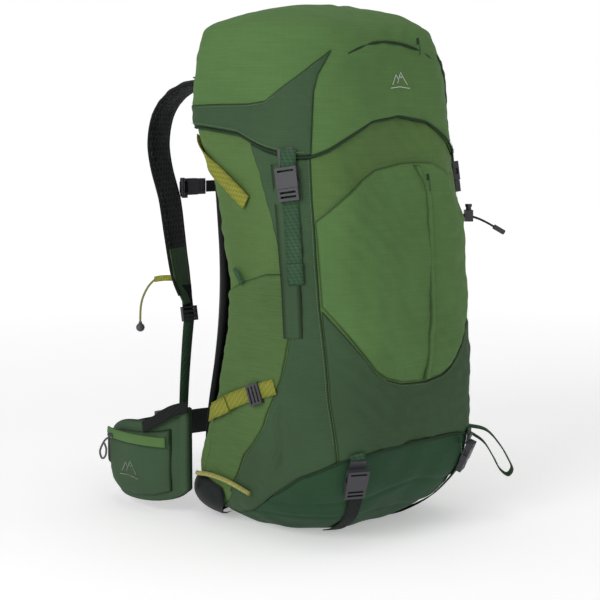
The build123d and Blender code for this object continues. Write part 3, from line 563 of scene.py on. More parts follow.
lid_edge = as_turn(LID_EDGE)
bottom_seam = as_turn(BOTTOM_SEAM)
lid_edge_s, bottom_seam_s = curve_z(LID_EDGE), curve_z(BOTTOM_SEAM)
front_seam_s, dark_edge_s = curve_s(FRONT_SEAM), curve_s(DARK_EDGE)


COLUMNS = 560 // FINE
ring = np.linspace(-5, 5, COLUMNS, endpoint=False)


def wrapped(name, Z, material, height, end=None, rise=0.0):
    """Full ring of skin from rows of heights, moved out by a height function, with one end closed."""
    C = np.broadcast_to(ring, Z.shape)
    base = skin(C, Z)
    flat = (base + skin_normal(C, Z) * height(base, C, Z)[..., None]).reshape(-1, 3)
    rows, columns = Z.shape
    uv = np.stack([np.broadcast_to(arc_lengths(base[rows // 2]), Z.shape), Z], -1).reshape(-1, 2)
    faces = list(grid_faces(rows, columns, True))
    if end:
        way = 1 if end == "high" else -1
        edge = np.arange(columns) + (0 if end == "low" else (rows - 1) * columns)
        last, rim = edge, flat[edge]
        centre = rim.mean(0)
        for k in (0.86, 0.7, 0.52, 0.34, 0.17):
            inner = centre + (rim - centre) * k
            inner[:, 2] += rise * (1 - k * k) + 0.0005 * waves(inner, 0.05, 3)
            fresh = np.arange(columns) + len(flat)
            flat = np.concatenate([flat, inner])
            uv = np.concatenate([uv, inner[:, :2]])
            faces += list(np.stack([last, np.roll(last, -1), np.roll(fresh, -1), fresh], 1)[:, ::way])
            last = fresh
        faces.append(last[::way])
    return make_mesh(name, flat, faces, material, uv)


def bag_body(base, C, Z):
    """The bag's own sag away from its borders."""
    sag = 0.0010 * waves(base, 0.085, 11) + 0.0005 * waves(base, 0.03, 12, (1, 1, 2.2)) - 0.0006
    return sag + 0.0008 * waves(base, 0.05, 13, (1, 1, 0.3))


def bag_height(base, C, Z):
    top = pillow(np.clip((lid_edge(C) - Z) / 0.004, 0, 1), 1)
    low = pillow(np.clip((Z - bottom_seam(C)) / 0.004, 0, 1), 1)
    return bag_body(base, C, Z) * np.minimum(top, low) - 0.0022 * (1 - top) - 0.0016 * (1 - low)


def bottom_height(base, C, Z):
    top = pillow(np.clip((bottom_seam(C) - Z) / 0.004, 0, 1), 1)
    swell = 0.0016 * np.sin(np.clip(Z / 0.12, 0, 1) * math.pi)
    fold = 0.0018 * np.exp(-((Z - (0.060 + 0.010 * np.cos(C * 1.4))) / 0.0035) ** 2)
    fold += 0.0014 * np.exp(-((Z - (0.030 + 0.006 * np.cos(C * 1.1 + 1))) / 0.003) ** 2)
    return (swell + 0.0010 * waves(base, 0.06, 21) - fold) * top - 0.0020 * (1 - top)


# The lid's front zip is an arch, in metres of arc length and height
LID_SEAM_FRONT = np.array([skin(turn_of(s, z), z) for s, z in
                           [(k, 0.6175 - 3 * k * k) for k in np.linspace(-0.075, 0.080, 60)]])


def lid_height(base, C, Z):
    edge = pillow(np.clip((Z - lid_edge(C)) / 0.005, 0, 1), 1)
    crown = 0.0015 * waves(base, 0.10, 31) + 0.0006 * waves(base, 0.035, 32, (1, 1, 1.8))
    swell = 0.0022 * np.sin(np.clip((Z - 0.49) / 0.17, 0, 1) * math.pi)
    seam = groove(base, LID_SEAM_FRONT, 0.0012, 0.0022)
    return 0.0016 + (crown + swell - seam) * edge - 0.0028 * (1 - edge)


low, high = bottom_seam(ring) + 0.0004, lid_edge(ring) - 0.001
climb = np.linspace(0, 1, 230 // FINE)[:, None]
main_bag = wrapped("main_bag_shell", low + (high - low) * climb, shaded_green_nylon, bag_height)
finish_piece(main_bag, "bag", "green_nylon", "main_bag")

low, high = 0.0006, bottom_seam(ring) - 0.0004
climb = np.linspace(0, 1, 84 // FINE)[:, None] ** 1.15
bottom = wrapped("bottom_compartment_shell", low + (high - low) * climb, deep_nylon, bottom_height, "low")
finish_piece(bottom, "bag", "dark_nylon", "bottom_compartment")

LID_SHOULDER = 0.634       # height where the lid turns over into its top
low = lid_edge(ring)
lower = np.linspace(0, 1, 110 // FINE)[:, None]
upper = 1 - (1 - np.linspace(0, 1, 34 // FINE)[1:, None]) ** 1.6
Z = np.concatenate([low + (LID_SHOULDER - low) * lower,
                    LID_SHOULDER + (HEIGHT - LID_SHOULDER) * upper * np.ones((1, COLUMNS))])
lid = wrapped("lid_shell_cloth", Z, light_nylon, lid_height, "high", 0.0012)
finish_piece(lid, "lid", "green_nylon", "lid_shell")


def spread_panel(name, s, low, high, rows, material, **look):
    """Panel over a row of arc lengths, between two heights for each."""
    Z = low + (high - low) * np.linspace(0, 1, rows)[:, None]
    return fabric_panel(name, turn_of(np.broadcast_to(s, Z.shape), Z), Z, material, **look)


def between_panel(name, side, s_low, s_high, z_low, z_high, rows, columns, material, **look):
    """Panel between two side lines s(z) and two end lines z(s)."""
    f = np.linspace(0, 1, columns)[None, :]
    g = np.linspace(0, 1, rows)[:, None]
    s = 0.2 + 0 * f * g
    for pass_number in range(8):
        lo, hi = z_low(s), z_high(s)
        Z = lo + (hi - lo) * g
        s = s_low(Z) + (s_high(Z) - s_low(Z)) * f
    C = turn_of(side * s, Z)
    if side < 0:
        C, Z = C[:, ::-1], Z[:, ::-1]
    return fabric_panel(name, C, Z, material, **look)


def steps(value, *pairs):
    """Straight runs between (place, value) pairs."""
    places, values = zip(*pairs)
    return np.interp(value, places, values)


SIDES = ((-1, "left"), (1, "right"))
WING_LOW = np.array([(96, 605), (110, 586), (119, 573), (126, 553), (131, 522), (138, 479)]) / 1000
wing_top = curve_z([(96, 606), (120, 590), (150, 569), (186, 545), (215, 542), (260, 542), (301, 541),
                    (340, 541)])
pocket_top = curve_z([(170, 340), (215, 337), (258, 325), (300, 306), (345, 292)])


def wing_low(s):
    return np.where(s < 0.138, np.interp(s, *WING_LOW.T), lid_edge_s(s) + 0.0012)


def stretch_ripples(base, C, Z, inside):
    """Gathers of the stretch cloth across the side pocket, and its elastic hem."""
    ripples = 0.00042 * np.sin(Z * 2 * math.pi / 0.0072 + 2.2 * waves(base, 0.05, 61))
    reach = np.clip((Z - 0.18) / 0.05, 0, 1) * np.clip(1.3 - np.abs(C) * 0.28, 0.25, 1)
    s = sum(np.clip(np.abs(C) - k, 0, 1) * length for k, length in enumerate(runs(Z)))
    hem = 0.0012 * np.exp(-((pocket_top(s) - Z - 0.006) / 0.005) ** 2)
    return ripples * reach * pillow(inside, 0.01) + hem


def boot(base, C, Z, inside):
    """The reinforced base swells out towards the back."""
    towards_back = np.clip((np.abs(C) - 2.75) / 0.9, 0, 1) ** 1.2
    return 0.021 * towards_back * np.sin(np.clip(Z / 0.060, 0, 1) * math.pi) ** 0.75


def side_panels(side, word):
    dense = np.linspace(0.124, 0.142, 40 // FINE)
    s = np.unique(np.concatenate([np.linspace(0.0965, 0.328, 150 // FINE), dense]))[::side]
    wing = spread_panel("lid_wing_" + word, side * s, wing_low(s), wing_top(s), 60 // FINE, dark_nylon,
                        lift=0.0014, sink=0.0010, puff=0.0006, wobble=0.0003, seed=41, under=lid_height)
    finish_piece(wing, "lid", "dark_nylon", "lid_wings")

    corner = between_panel("corner_panel_cloth_" + word, side, front_seam_s, dark_edge_s,
                           lambda s: bottom_seam_s(s) + 0.0006, lambda s: lid_edge_s(s) - 0.0015,
                           260 // FINE, 60 // FINE, dark_nylon,
                           lift=0.0012, puff=0.0010, wobble=0.0004, seed=51, under=bag_body)
    finish_piece(corner, "bag", "dark_nylon", "corner_panel_" + word)

    side_pocket = between_panel("side_pocket_cloth_" + word, side, lambda z: dark_edge_s(z) + 0.0008,
                                lambda z: 0 * z + 0.338,
                                lambda s: steps(s, (0.2, 0.09), (0.262, 0.045), (0.33, 0.062)), pocket_top,
                                200 // FINE, 90 // FINE, stretch_cloth, lift=0.0011, puff=0.0012,
                                wobble=0.0004, pucker=0.0002, seed=71, extra=stretch_ripples, under=bag_body)
    finish_piece(side_pocket, "bag", "stretch_green", "side_pocket_" + word)

    s = np.linspace(0.243, 0.60, 150 // FINE)[::side]
    top = steps(s, (0.243, 0.004), (0.252, 0.014), (0.262, 0.026), (0.290, 0.050), (0.325, 0.060),
                (0.62, 0.060))
    base_half = spread_panel("base_cloth_" + word, side * s, 0.002, top, 34 // FINE, base_cloth,
                             lift=0.0016, puff=0.0006, wobble=0.0004, seed=81, extra=boot)
    finish_piece(base_half, "bag", "base_black", "base_panel")


for side, word in SIDES:
    side_panels(side, word)

# Front pocket, its storm flap, and the apron below it
POCKET_TOP = [(-142, 402), (-128, 412), (-103, 431), (-75, 451), (-52, 462), (-5, 469), (30, 470), (53, 468),
              (83, 457), (105, 438), (128, 414), (142, 402)]
POCKET_LOW = [(-142, 300), (-126, 281), (-110, 261), (-79, 221), (-62, 210), (-35, 202), (12, 199), (45, 204),
              (63, 212), (86, 232), (110, 262), (126, 281), (142, 300)]
pocket_high, pocket_low = curve_z(POCKET_TOP), curve_z(POCKET_LOW)


def pocket_creases(base, C, Z, inside):
    drag = 0.0007 * waves(base, 0.045, 93, (1, 1, 0.35)) + 0.0006 * waves(base, 0.12, 94)
    return drag * pillow(inside, 0.03)


s = np.linspace(-0.1425, 0.1425, 200 // FINE)
front_pocket = spread_panel("front_pocket_cloth", s, pocket_low(s), pocket_high(s), 190 // FINE, light_nylon,
                            lift=0.0018, puff=0.0042, reach=0.045, wobble=0.0009, period=0.11, pucker=0.0003,
                            seed=91, extra=pocket_creases, under=bag_body)
finish_piece(front_pocket, "bag", "green_nylon", "front_pocket")

APRON_HALF = 0.1405
s = np.linspace(-APRON_HALF, APRON_HALF, 200 // FINE)
low_line = steps(np.abs(s), (0.0, 0.1236), (0.062, 0.1236), (0.12, 0.1172), (APRON_HALF, 0.108))
Z = low_line + (pocket_low(s) - 0.0012 - low_line) * np.linspace(0, 1, 110 // FINE)[:, None]
C = turn_of(s * np.clip(front_seam_s(Z) / APRON_HALF, 0.9, 1.02), Z)
apron = fabric_panel("front_apron_cloth", C, Z, dark_nylon, lift=0.0012, puff=0.0014, reach=0.03,
                     wobble=0.0004, seed=101, under=bag_body)
finish_piece(apron, "bag", "dark_nylon", "front_apron")

FLAP_WIDTH = 0.011
flap_line = curve_s([(20, 467), (34, 440), (36, 422), (35, 385), (33, 347), (27, 273), (18, 225), (10, 200)])
across = np.linspace(-0.5, 0.5, 10)[None, :]
Z = np.linspace(0.200, 0.466, 180 // FINE)[:, None] + 0 * across
flap = fabric_panel("front_zip_flap", turn_of(flap_line(Z) + FLAP_WIDTH * across, Z), Z, light_nylon,
                    lift=0.0082,
                    sink=-0.0046, puff=0.0002, reach=0.004, wobble=0.0002, pucker=0.0001, seed=111,
                    under=bag_body)
finish_piece(flap, "bag", "zip_tape", "front_zip")


# ------------------------------------------------------------ webbing, stitches and piping
def smooth_line(points, count):
    """Centripetal Catmull-Rom line through points."""
    p = np.asarray(points, float)
    p = np.concatenate([[2 * p[0] - p[1]], p, [2 * p[-1] - p[-2]]])
    gaps = np.maximum(np.linalg.norm(np.diff(p, axis=0), axis=1), 1e-9) ** 0.5
    knots = np.concatenate([[0], np.cumsum(gaps)])
    total = np.linspace(knots[1], knots[-2], count)
    out = []
    for u in total:
        k = int(np.clip(np.searchsorted(knots, u, side="right") - 1, 1, len(p) - 3))
        t0, t1, t2, t3 = knots[k - 1:k + 3]
        a1 = (t1 - u) / (t1 - t0) * p[k - 1] + (u - t0) / (t1 - t0) * p[k]
        a2 = (t2 - u) / (t2 - t1) * p[k] + (u - t1) / (t2 - t1) * p[k + 1]
        a3 = (t3 - u) / (t3 - t2) * p[k + 1] + (u - t2) / (t3 - t2) * p[k + 2]
        b1 = (t2 - u) / (t2 - t0) * a1 + (u - t0) / (t2 - t0) * a2
        b2 = (t3 - u) / (t3 - t1) * a2 + (u - t1) / (t3 - t1) * a3
        out.append((t2 - u) / (t2 - t1) * b1 + (u - t1) / (t2 - t1) * b2)
    return np.array(out)


def ribbon(name, centre, facing, width, thick, material, curl=0.0):
    """Flat band of webbing along a line; facing gives the side it shows, curl cups it a little."""
    centre = np.asarray(centre, float)
    tangent = unit(np.gradient(centre, axis=0))
    across = unit(np.cross(tangent, np.broadcast_to(facing, centre.shape)))
    up = unit(np.cross(across, tangent))
    half, h, r = width / 2, thick / 2, thick * 0.45
    outline = [(-half, -h + r), (-half + r, -h), (half - r, -h), (half, -h + r), (half, h - r), (half - r, h),
               (half * 0.5, h), (0, h), (-half * 0.5, h), (-half + r, h), (-half, h - r)]
    rings = np.stack([centre + across * u + up * (v + curl * (u / half) ** 2) for u, v in outline], 1)
    size = rings.shape[:2]
    uv = np.stack([np.broadcast_to([u for u, v in outline], size),
                   np.broadcast_to(arc_lengths(centre)[:, None], size)], -1)
    # The band's two edge faces get 0 in the seam attribute: painted shade on its edges.
    rim = np.broadcast_to([0.0 if abs(u) > half * 0.9 else 1.0 for u, v in outline], size)
    return make_mesh(name, rings, capped_faces(*size), material, uv, rim)


def skin_line(pairs, lift, count=40, side=1):
    """Points and normals over the skin along (s, z) pairs in millimetres."""
    line = smooth_line([(s / 1000, z / 1000, 0) for s, z in pairs], count)
    C = turn_of(side * line[:, 0], line[:, 1])
    normal = skin_normal(C, line[:, 1])
    return skin(C, line[:, 1]) + normal * lift, normal


def skin_ribbon(name, pairs, width, lift, material, side=1, count=40, thick=0.0014):
    points, normal = skin_line(pairs, lift, count, side)
    return ribbon(name, points, normal, width, thick, material)


def bar(centre, along, facing, length, width, thick):
    """Corners and faces of a small rounded bar, for stitches and bar tacks."""
    along, facing = unit(along), unit(facing)
    across = np.cross(along, facing)
    corners = ((-0.5, 0.35, 0), (-0.5, -0.35, 0), (-0.28, -0.5, 1), (0.28, -0.5, 1), (0.5, -0.35, 0),
               (0.5, 0.35, 0), (0.28, 0.5, 1), (-0.28, 0.5, 1))
    points = [centre + along * u * length + across * w * width + facing * h * thick for u, w, h in corners]
    return points, [(0, 1, 2, 7), (7, 2, 3, 6), (6, 3, 4, 5)]


def stitches(name, lines, material, body, slot, step=0.0034, length=0.0024, width=0.0007, thick=0.00035):
    """Rows of thread stitches along lines of points with normals."""
    points, faces = [], []
    for line, normal in lines:
        along = arc_lengths(line)
        places = np.arange(step / 2, along[-1], step)

        def at(rows, where):
            return np.stack([np.interp(where, along, rows[:, k]) for k in range(3)], 1)

        heading = at(line, np.minimum(places + 0.001, along[-1])) - at(line, places - 0.001)
        for centre, ahead, out in zip(at(line, places), heading, at(normal, places)):
            corners, quads = bar(centre, ahead, out, length, width, thick)
            faces += [[k + len(points) for k in quad] for quad in quads]
            points += corners
    obj = make_mesh(name, np.array(points), faces, material, np.array(points)[:, :2], None, False)
    return finish_piece(obj, body, slot)


def seam_row(curve, first, last, count, beside, lift, dense, side=1):
    """Line over the skin beside a seam z(s); beside is in millimetres."""
    pairs = [(s * 1000, float(curve(s)) * 1000 + beside) for s in np.linspace(first, last, count)]
    return skin_line(pairs, lift, dense, side)


# Webbing on the skin, one row a band: name, replaced node, body, slot, material, width, lift and
# thickness in tenths of a millimetre, points along it, and its route in millimetres
LIME, WEB = "lime_webbing", "dark_webbing"
BANDS = [
    ("upper_side_strap_", "upper_side_straps", "bag", LIME, lime_webbing, 190, 26, 14, 40,
     [(343, 500), (316, 480), (284, 457), (258, 438), (243, 427)]),
    ("upper_strap_tail_", None, "bag", LIME, lime_webbing, 195, 44, 16, 14,
     [(264, 443), (253, 435), (244, 428), (236, 422)]),
    ("lower_side_strap_", "lower_side_straps", "bag", LIME, lime_webbing, 200, 46, 14, 40,
     [(338, 146), (316, 160), (290, 173), (262, 184), (235, 193), (211, 201)]),
    ("lower_strap_fold_", None, "bag", LIME, lime_webbing, 205, 64, 14, 12,
     [(326, 154), (312, 161), (298, 168)]),
    ("lid_strap_", "lid_straps", "bag", WEB, dark_webbing, 200, 34, 14, 40,
     [(168, 434), (169, 400), (170, 366), (170, 326)]),
    ("lid_strap_end_", None, "bag", WEB, dark_webbing, 210, 51, 16, 10, [(170, 352), (170, 340), (170, 328)]),
    ("strap_backing_", None, "bag", "dark_nylon", dark_nylon, 260, 23, 12, 60,
     [(176, 470), (177, 420), (178, 370), (178, 320), (180, 262)]),
    ("lid_tab_", None, "lid", "dark_nylon", dark_webbing, 200, 64, 14, 16,
     [(163, 487), (164.5, 478), (166, 466), (167, 460)]),
    ("pad_strap_", "pad_straps", "bag", WEB, black_webbing, 190, 32, 14, 30,
     [(97, 72), (90, 55), (80, 36), (68, 16), (60, 4)]),
    ("pad_tab_", None, "bag", WEB, dark_webbing, 200, 48, 14, 10, [(107, 124), (106, 118), (105, 108)]),
    ("pocket_tab_", None, "bag", "dark_nylon", dark_webbing, 70, 44, 14, 8,
     [(268, 340), (262, 331), (257, 322)]),
]
bag_rows, lid_rows = [], []
for side, word in SIDES:
    for name, replaced, body, slot, material, width, lift, thick, count, route in BANDS:
        band = skin_ribbon(name + word, route, width / 10000, lift / 10000, material, side, count,
                           thick / 10000)
        finish_piece(band, body, slot, *([replaced] if replaced else []))
    beside_seam = [(float(front_seam_s(z)) * 1000 + 3.2, z * 1000) for z in np.linspace(0.135, 0.474, 30)]
    bag_rows.append(skin_line(beside_seam, 0.0027, 200, side))
    lid_rows.append(seam_row(lid_edge_s, 0.145, 0.322, 30, 5.5, 0.0066, 160, side))
    lid_rows.append(seam_row(wing_top, 0.115, 0.322, 30, -3.5, 0.0054, 160, side))
bag_rows.append(seam_row(pocket_high, -0.128, 0.128, 40, 3.0, 0.0010, 260))
bag_rows.append(seam_row(pocket_low, -0.128, 0.128, 40, -4.2, 0.0030, 260))
lid_rows.append(seam_row(lambda s: lid_edge_s(abs(s)), -0.125, 0.125, 40, 5.5, 0.0029, 220))
stitches("bag_stitching", bag_rows, thread_cloth, "bag", "green_nylon")
stitches("lid_stitching", lid_rows, thread_cloth, "lid", "green_nylon")


def tube(name, points, radius, material, sides=10, count=160):
    """Closed tube along a smooth line, for piping and moulded loops."""
    line = smooth_line(points, count)
    tangent = unit(np.gradient(line, axis=0))
    start = np.cross(tangent[0], (0.31, 0.2, 0.93))
    rings, side_vector = [], unit(np.cross(tangent[0], (0.31, 0.2, 0.93)))
    for place, ahead in zip(line, tangent):
        side_vector = unit(side_vector - ahead * (side_vector @ ahead))
        other = np.cross(ahead, side_vector)
        rings.append([place + radius * (math.cos(a) * side_vector + math.sin(a) * other)
                      for a in np.linspace(0, 2 * math.pi, sides, endpoint=False)])
    rings = np.array(rings)
    size = rings.shape[:2]
    uv = np.stack([np.broadcast_to(np.linspace(0, 2 * math.pi * radius, sides), size),
                   np.broadcast_to(arc_lengths(line)[:, None], size)], -1)
    return make_mesh(name, rings, capped_faces(*size), material, uv)


def rim_line(pairs_function, s_values, lift):
    z = np.array([float(pairs_function(abs(s))) for s in s_values])
    C = turn_of(s_values, z)
    return skin(C, z) + skin_normal(C, z) * lift


# The lid's bound lower edge, in piping_cloth darker than the lid's dark nylon: partly the real binding,
# partly painted shadow under the lid's overhang.
edge_points = rim_line(lid_edge_s, np.linspace(-0.322, 0.322, 90), 0.0022)
piping = tube("lid_piping_and_shadow", edge_points, 0.0016, piping_cloth, 8, 420 // FINE)
finish_piece(piping, "lid", "dark_nylon")
seam_points = rim_line(bottom_seam_s, np.linspace(-0.200, 0.200, 60), 0.0008)
bottom_piping = tube("bottom_piping", seam_points, 0.0015, piping_cloth, 8, 260 // FINE)
finish_piece(bottom_piping, "bag", "zip_tape", "bottom_zip")
lid_zip_line = [p + 0.0015 * unit(p - np.array([0, 0.02, p[2]])) for p in LID_SEAM_FRONT]
lid_zip = tube("lid_zip_cord", lid_zip_line, 0.0016, piping_cloth, 8, 80)
finish_piece(lid_zip, "lid", "zip_tape", "lid_zip")


# ------------------------------------------------------------ harness
HINGE = 0.566
HARNESS_X = 0.086
STRAP_TRACK = np.array([(119, -8), (132, 1), (146, 6), (163, 7), (186, 3), (208, -6), (226, -19), (238, -34),
                        (245, -52), (248, -76), (241, -108), (226, -146), (217, -190), (209, -231),
                        (201, -261), (190, -288)]) / 1000


def harness_piece(obj, slot, start, end, *replaced):
    """A piece between the bag and the harness, baked into world space with the parts it replaces hidden;
    start and end are not used.
    """
    if replaced:
        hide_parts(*replaced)
    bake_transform(obj)


def shoulder_strap(side, word):
    """Padded strap of spacer mesh with a quilted rim, a cloth foot and bound edges."""
    line = smooth_line([(y, HINGE - 0.004 + z, 0) for y, z in STRAP_TRACK], 150 // FINE)
    cant = math.radians(24)
    across = np.array([math.cos(cant), -side * math.sin(cant), 0.0])
    centre = np.stack([np.full(len(line), side * HARNESS_X), line[:, 0], line[:, 1]], 1)
    tangent = unit(np.gradient(centre, axis=0))
    normal = unit(np.cross([1.0, 0, 0], tangent))
    along = arc_lengths(line)
    share = along / along[-1]
    half = 0.0295 * steps(share, (0, 0.80), (0.05, 0.9), (0.3, 1.0), (0.7, 0.98), (0.9, 0.85), (1.0, 0.42))
    thick = 0.0063 * steps(share, (0, 0.45), (0.08, 0.8), (0.2, 1.0), (0.85, 1.0), (1.0, 0.45))
    angle = np.linspace(0, 2 * math.pi, 44 // FINE, endpoint=False)
    u = np.sign(np.cos(angle)) * np.abs(np.cos(angle)) ** 0.55
    v = np.sign(np.sin(angle)) * np.abs(np.sin(angle)) ** 0.62
    rings = centre[:, None] + across * (half[:, None] * u)[..., None]
    rings = rings + normal[:, None] * (thick[:, None] * v)[..., None]
    quilt = 0.0006 * waves(rings, 0.03, 121 + side) - 0.0011 * np.exp(-((np.abs(u) - 0.80) / 0.06) ** 2)
    rings = rings + normal[:, None] * (quilt * np.sign(v))[..., None]
    size = rings.shape[:2]
    faces = capped_faces(*size)
    uv = np.stack([half[:, None] * u, np.broadcast_to(along[:, None], size)], -1)
    strap = make_mesh("shoulder_strap_pad_" + word, rings, faces, strap_mesh, uv)
    strap.data.materials.append(dark_nylon)
    in_cloth = [int(share[min(face[0] // size[1], size[0] - 1)] > 0.80) for face in faces]
    strap.data.polygons.foreach_set("material_index", in_cloth)
    bend = ((0, 0.120, 0.552), (0, 0.150, 0.552))
    harness_piece(strap, "strap_mesh", *bend, "shoulder_strap_" + word)
    for edge in (-1, 1):
        rim = centre + across * (edge * half)[:, None] * 1.01
        name = "strap_binding_%s_%s" % (word, "in" if edge * side < 0 else "out")
        binding = tube(name, rim[::6 // FINE], 0.0023, black_cloth, 8, 150 // FINE)
        harness_piece(binding, "strap_mesh", *bend)


def load_lifter(side, word):
    track = ((0.1205, 0.5695), (0.135, 0.5723), (0.150, 0.5735), (0.165, 0.5750), (0.174, 0.5785))
    line = smooth_line([(side * 0.078, y, z) for y, z in track], 24)
    line[:6, 2] -= np.linspace(0.010, 0.0, 6)
    band = ribbon("load_lifter_" + word, line, (0, 0, 1.0), 0.019, 0.0014, dark_webbing)
    harness_piece(band, "dark_webbing", (0, 0.121, 0.56), (0, 0.150, 0.56), "load_lifters")


def lower_webbing(side, word):
    """Webbing from the hip to the strap's foot, and the tab that holds it there."""
    foot, head = np.array([side * 0.132, 0.148, 0.128]), np.array([side * HARNESS_X, 0.187, 0.2605])
    bow = np.array([0, 0.0015, 0])
    line = smooth_line([foot, foot * 0.66 + head * 0.34 + bow, foot * 0.34 + head * 0.66 + bow, head], 40)
    twist = np.linspace(0, 1, len(line))[:, None]
    facing = unit((1 - twist) * np.array([0.25 * side, 1.0, -0.25]) + twist * np.array([0, 1.0, -0.3]))
    band = ribbon("harness_webbing_" + word, line, facing, 0.018, 0.0014, dark_webbing)
    harness_piece(band, "dark_webbing", tuple(foot), tuple(head), "harness_webbing")
    track = ((0.1935, 0.300), (0.1925, 0.288), (0.1905, 0.274), (0.1885, 0.262), (0.1868, 0.254))
    line = smooth_line([(side * HARNESS_X, y, z) for y, z in track], 24)
    tab = ribbon("strap_foot_" + word, line, (0, 1.0, -0.15), 0.019, 0.0016, black_webbing)
    finish_piece(tab, "harness", "dark_webbing")


for side, word in SIDES:
    shoulder_strap(side, word)
    load_lifter(side, word)
    lower_webbing(side, word)

CHEST_Y, CHEST_Z = 0.2367, 0.430
for first, last, word in ((-0.0585, -0.044, "left"), (-0.010, 0.0585, "right")):
    line = np.stack([np.linspace(first, last, 20), np.full(20, CHEST_Y), np.full(20, CHEST_Z)], 1)
    line[:, 1] += 0.0012 * np.sin(np.linspace(0, math.pi, 20))
    strap = ribbon("chest_webbing_" + word, line, (0, 1.0, 0), 0.016, 0.0014, black_webbing)
    finish_piece(strap, "harness", "black_webbing", "chest_strap")
for side, word in SIDES:
    line = [(side * 0.0565, 0.2335, CHEST_Z + rise) for rise in (-0.013, -0.006, 0.006, 0.013)]
    runner = tube("chest_runner_" + word, line, 0.0032, buckle_plastic, 10, 20)
    finish_piece(runner, "harness", "buckle_grey")


# ------------------------------------------------------------ hip wings and belt
# The wing seen from above, as (x, y) in metres
wing_plan = smooth_line([(0.146, 0.137, 0), (0.156, 0.165, 0), (0.159, 0.200, 0), (0.153, 0.245, 0),
                         (0.136, 0.290, 0), (0.132, 0.296, 0)], 200)


def wing_x(y):
    return np.interp(y, wing_plan[:, 1], wing_plan[:, 0])


def wing_facing(side, y, slope):
    """Outward direction of the wing where x changes by slope for each y."""
    return unit(np.stack([side * np.ones(len(y)), -slope, 0 * y], -1))


def bent_pad(name, side, y_values, low, high, rows, outward, thick, material, back=None, ridge=None, seed=1):
    """Closed pad along the hip wing's plan line between two height curves, thickest in its middle."""
    t = np.linspace(0, 1, rows)[:, None]
    lo, hi = low(y_values), high(y_values)
    Z = lo + (hi - lo) * (0.5 - 0.5 * np.cos(t * math.pi))
    Y = np.broadcast_to(y_values, Z.shape)
    out = wing_facing(1, y_values, np.gradient(wing_x(y_values), y_values))
    middle = np.stack([wing_x(Y), Y, Z], -1) + out * outward
    inside = border_distance(middle)
    swell = thick / 2 * pillow(inside, 0.014) + 0.0008 * waves(middle, 0.05, seed) * pillow(inside, 0.01)
    if ridge is not None:
        swell = swell + ridge(Y, Z, inside)
    behind = swell if back is None else back * pillow(inside, 0.006)
    mirror = (side, 1, 1)
    points = np.stack([(middle + out * swell[..., None]) * mirror,
                       (middle - out * behind[..., None]) * mirror])
    n, m = Z.shape
    faces = grid_faces(n, m)[:, ::side]
    uv = np.tile(np.stack([Y, Z], -1).reshape(-1, 2), (2, 1))
    # The seam attribute, 0 on the pad's border, is where the materials paint shade.
    seam = np.tile(np.clip(inside / 0.003, 0, 1).ravel(), 2)
    obj = make_mesh(name, points, np.concatenate([faces, faces[:, ::-1] + n * m]), material, uv, seam)
    weld = obj.modifiers.new("weld", "WELD")
    weld.merge_threshold = 0.00005
    return obj


def heights(table):
    y, z = np.array(table, float).T[:2] / 1000
    return lambda at: np.interp(at, y, z)


def rounded(pairs):
    """Heights along y through a smooth line, both in millimetres."""
    return heights(smooth_line([(y, z, 0) for y, z in pairs], 120))


wing_pad_top = rounded([(118, 150), (137, 141), (156, 132), (180, 126), (205, 122), (240, 117), (266, 109),
                        (283, 100), (293, 86), (296, 64)])
wing_pad_low = rounded([(118, 38), (140, 24), (165, 17), (193, 13), (222, 11), (245, 12), (268, 22),
                        (284, 34), (293, 48), (296, 62)])
hip_pocket_top = heights([(146, 118), (170, 112), (205, 108), (240, 104), (262, 98), (272, 84)])
hip_pocket_low = heights([(146, 34), (170, 25), (205, 20), (240, 20), (262, 28), (272, 44)])


def hip_zip_z(y):
    return 0.0935 - 0.035 * (y - 0.21)


def zip_ridge(Y, Z, inside):
    """Fold over the hip pocket's zip, the channel below it, and drag lines above the pocket's middle."""
    above = Z - hip_zip_z(Y)
    fold = 0.0016 * np.exp(-((above - 0.006) / 0.0045) ** 2)
    fold = fold - 0.0022 * np.exp(-((above + 0.0015) / 0.0022) ** 2)
    drag = 0.0010 * np.sin((Y - 0.16) * 2 * math.pi / 0.05 + (Z - 0.05) * 40)
    drag = drag * np.clip((Z - 0.06) / 0.04, 0, 1)
    return (fold + drag) * pillow(inside, 0.01)


def hip_wing(side, word):
    body = "wing_" + word
    y = 0.118 + 0.1778 * np.sin(np.linspace(0, math.pi / 2, 110 // FINE))
    pad = bent_pad("hip_wing_pad_" + word, side, y, wing_pad_low, wing_pad_top, 70 // FINE, 0.0, 0.0150,
                   wing_cloth, 0.0070, None, 131)
    finish_piece(pad, body, "dark_nylon", "hip_wing_" + word)

    y = np.linspace(0.146, 0.272, 90 // FINE)
    bulge = bent_pad("hip_pocket_cloth_" + word, side, y, hip_pocket_low, hip_pocket_top, 60 // FINE, 0.0072,
                     0.0150, wing_cloth, 0.0008, zip_ridge, 141)
    finish_piece(bulge, body, "dark_nylon", "hip_pocket_" + word)

    y = np.linspace(0.150, 0.266, 40)
    out = wing_facing(side, y, np.gradient(wing_x(y), y))
    line = np.stack([side * wing_x(y), y, hip_zip_z(y) + 0.005], -1) + out * 0.0176
    strip = ribbon("hip_zip_flap_" + word, line, out, 0.014, 0.0020, light_nylon, -0.0012)
    finish_piece(strip, body, "zip_tape")


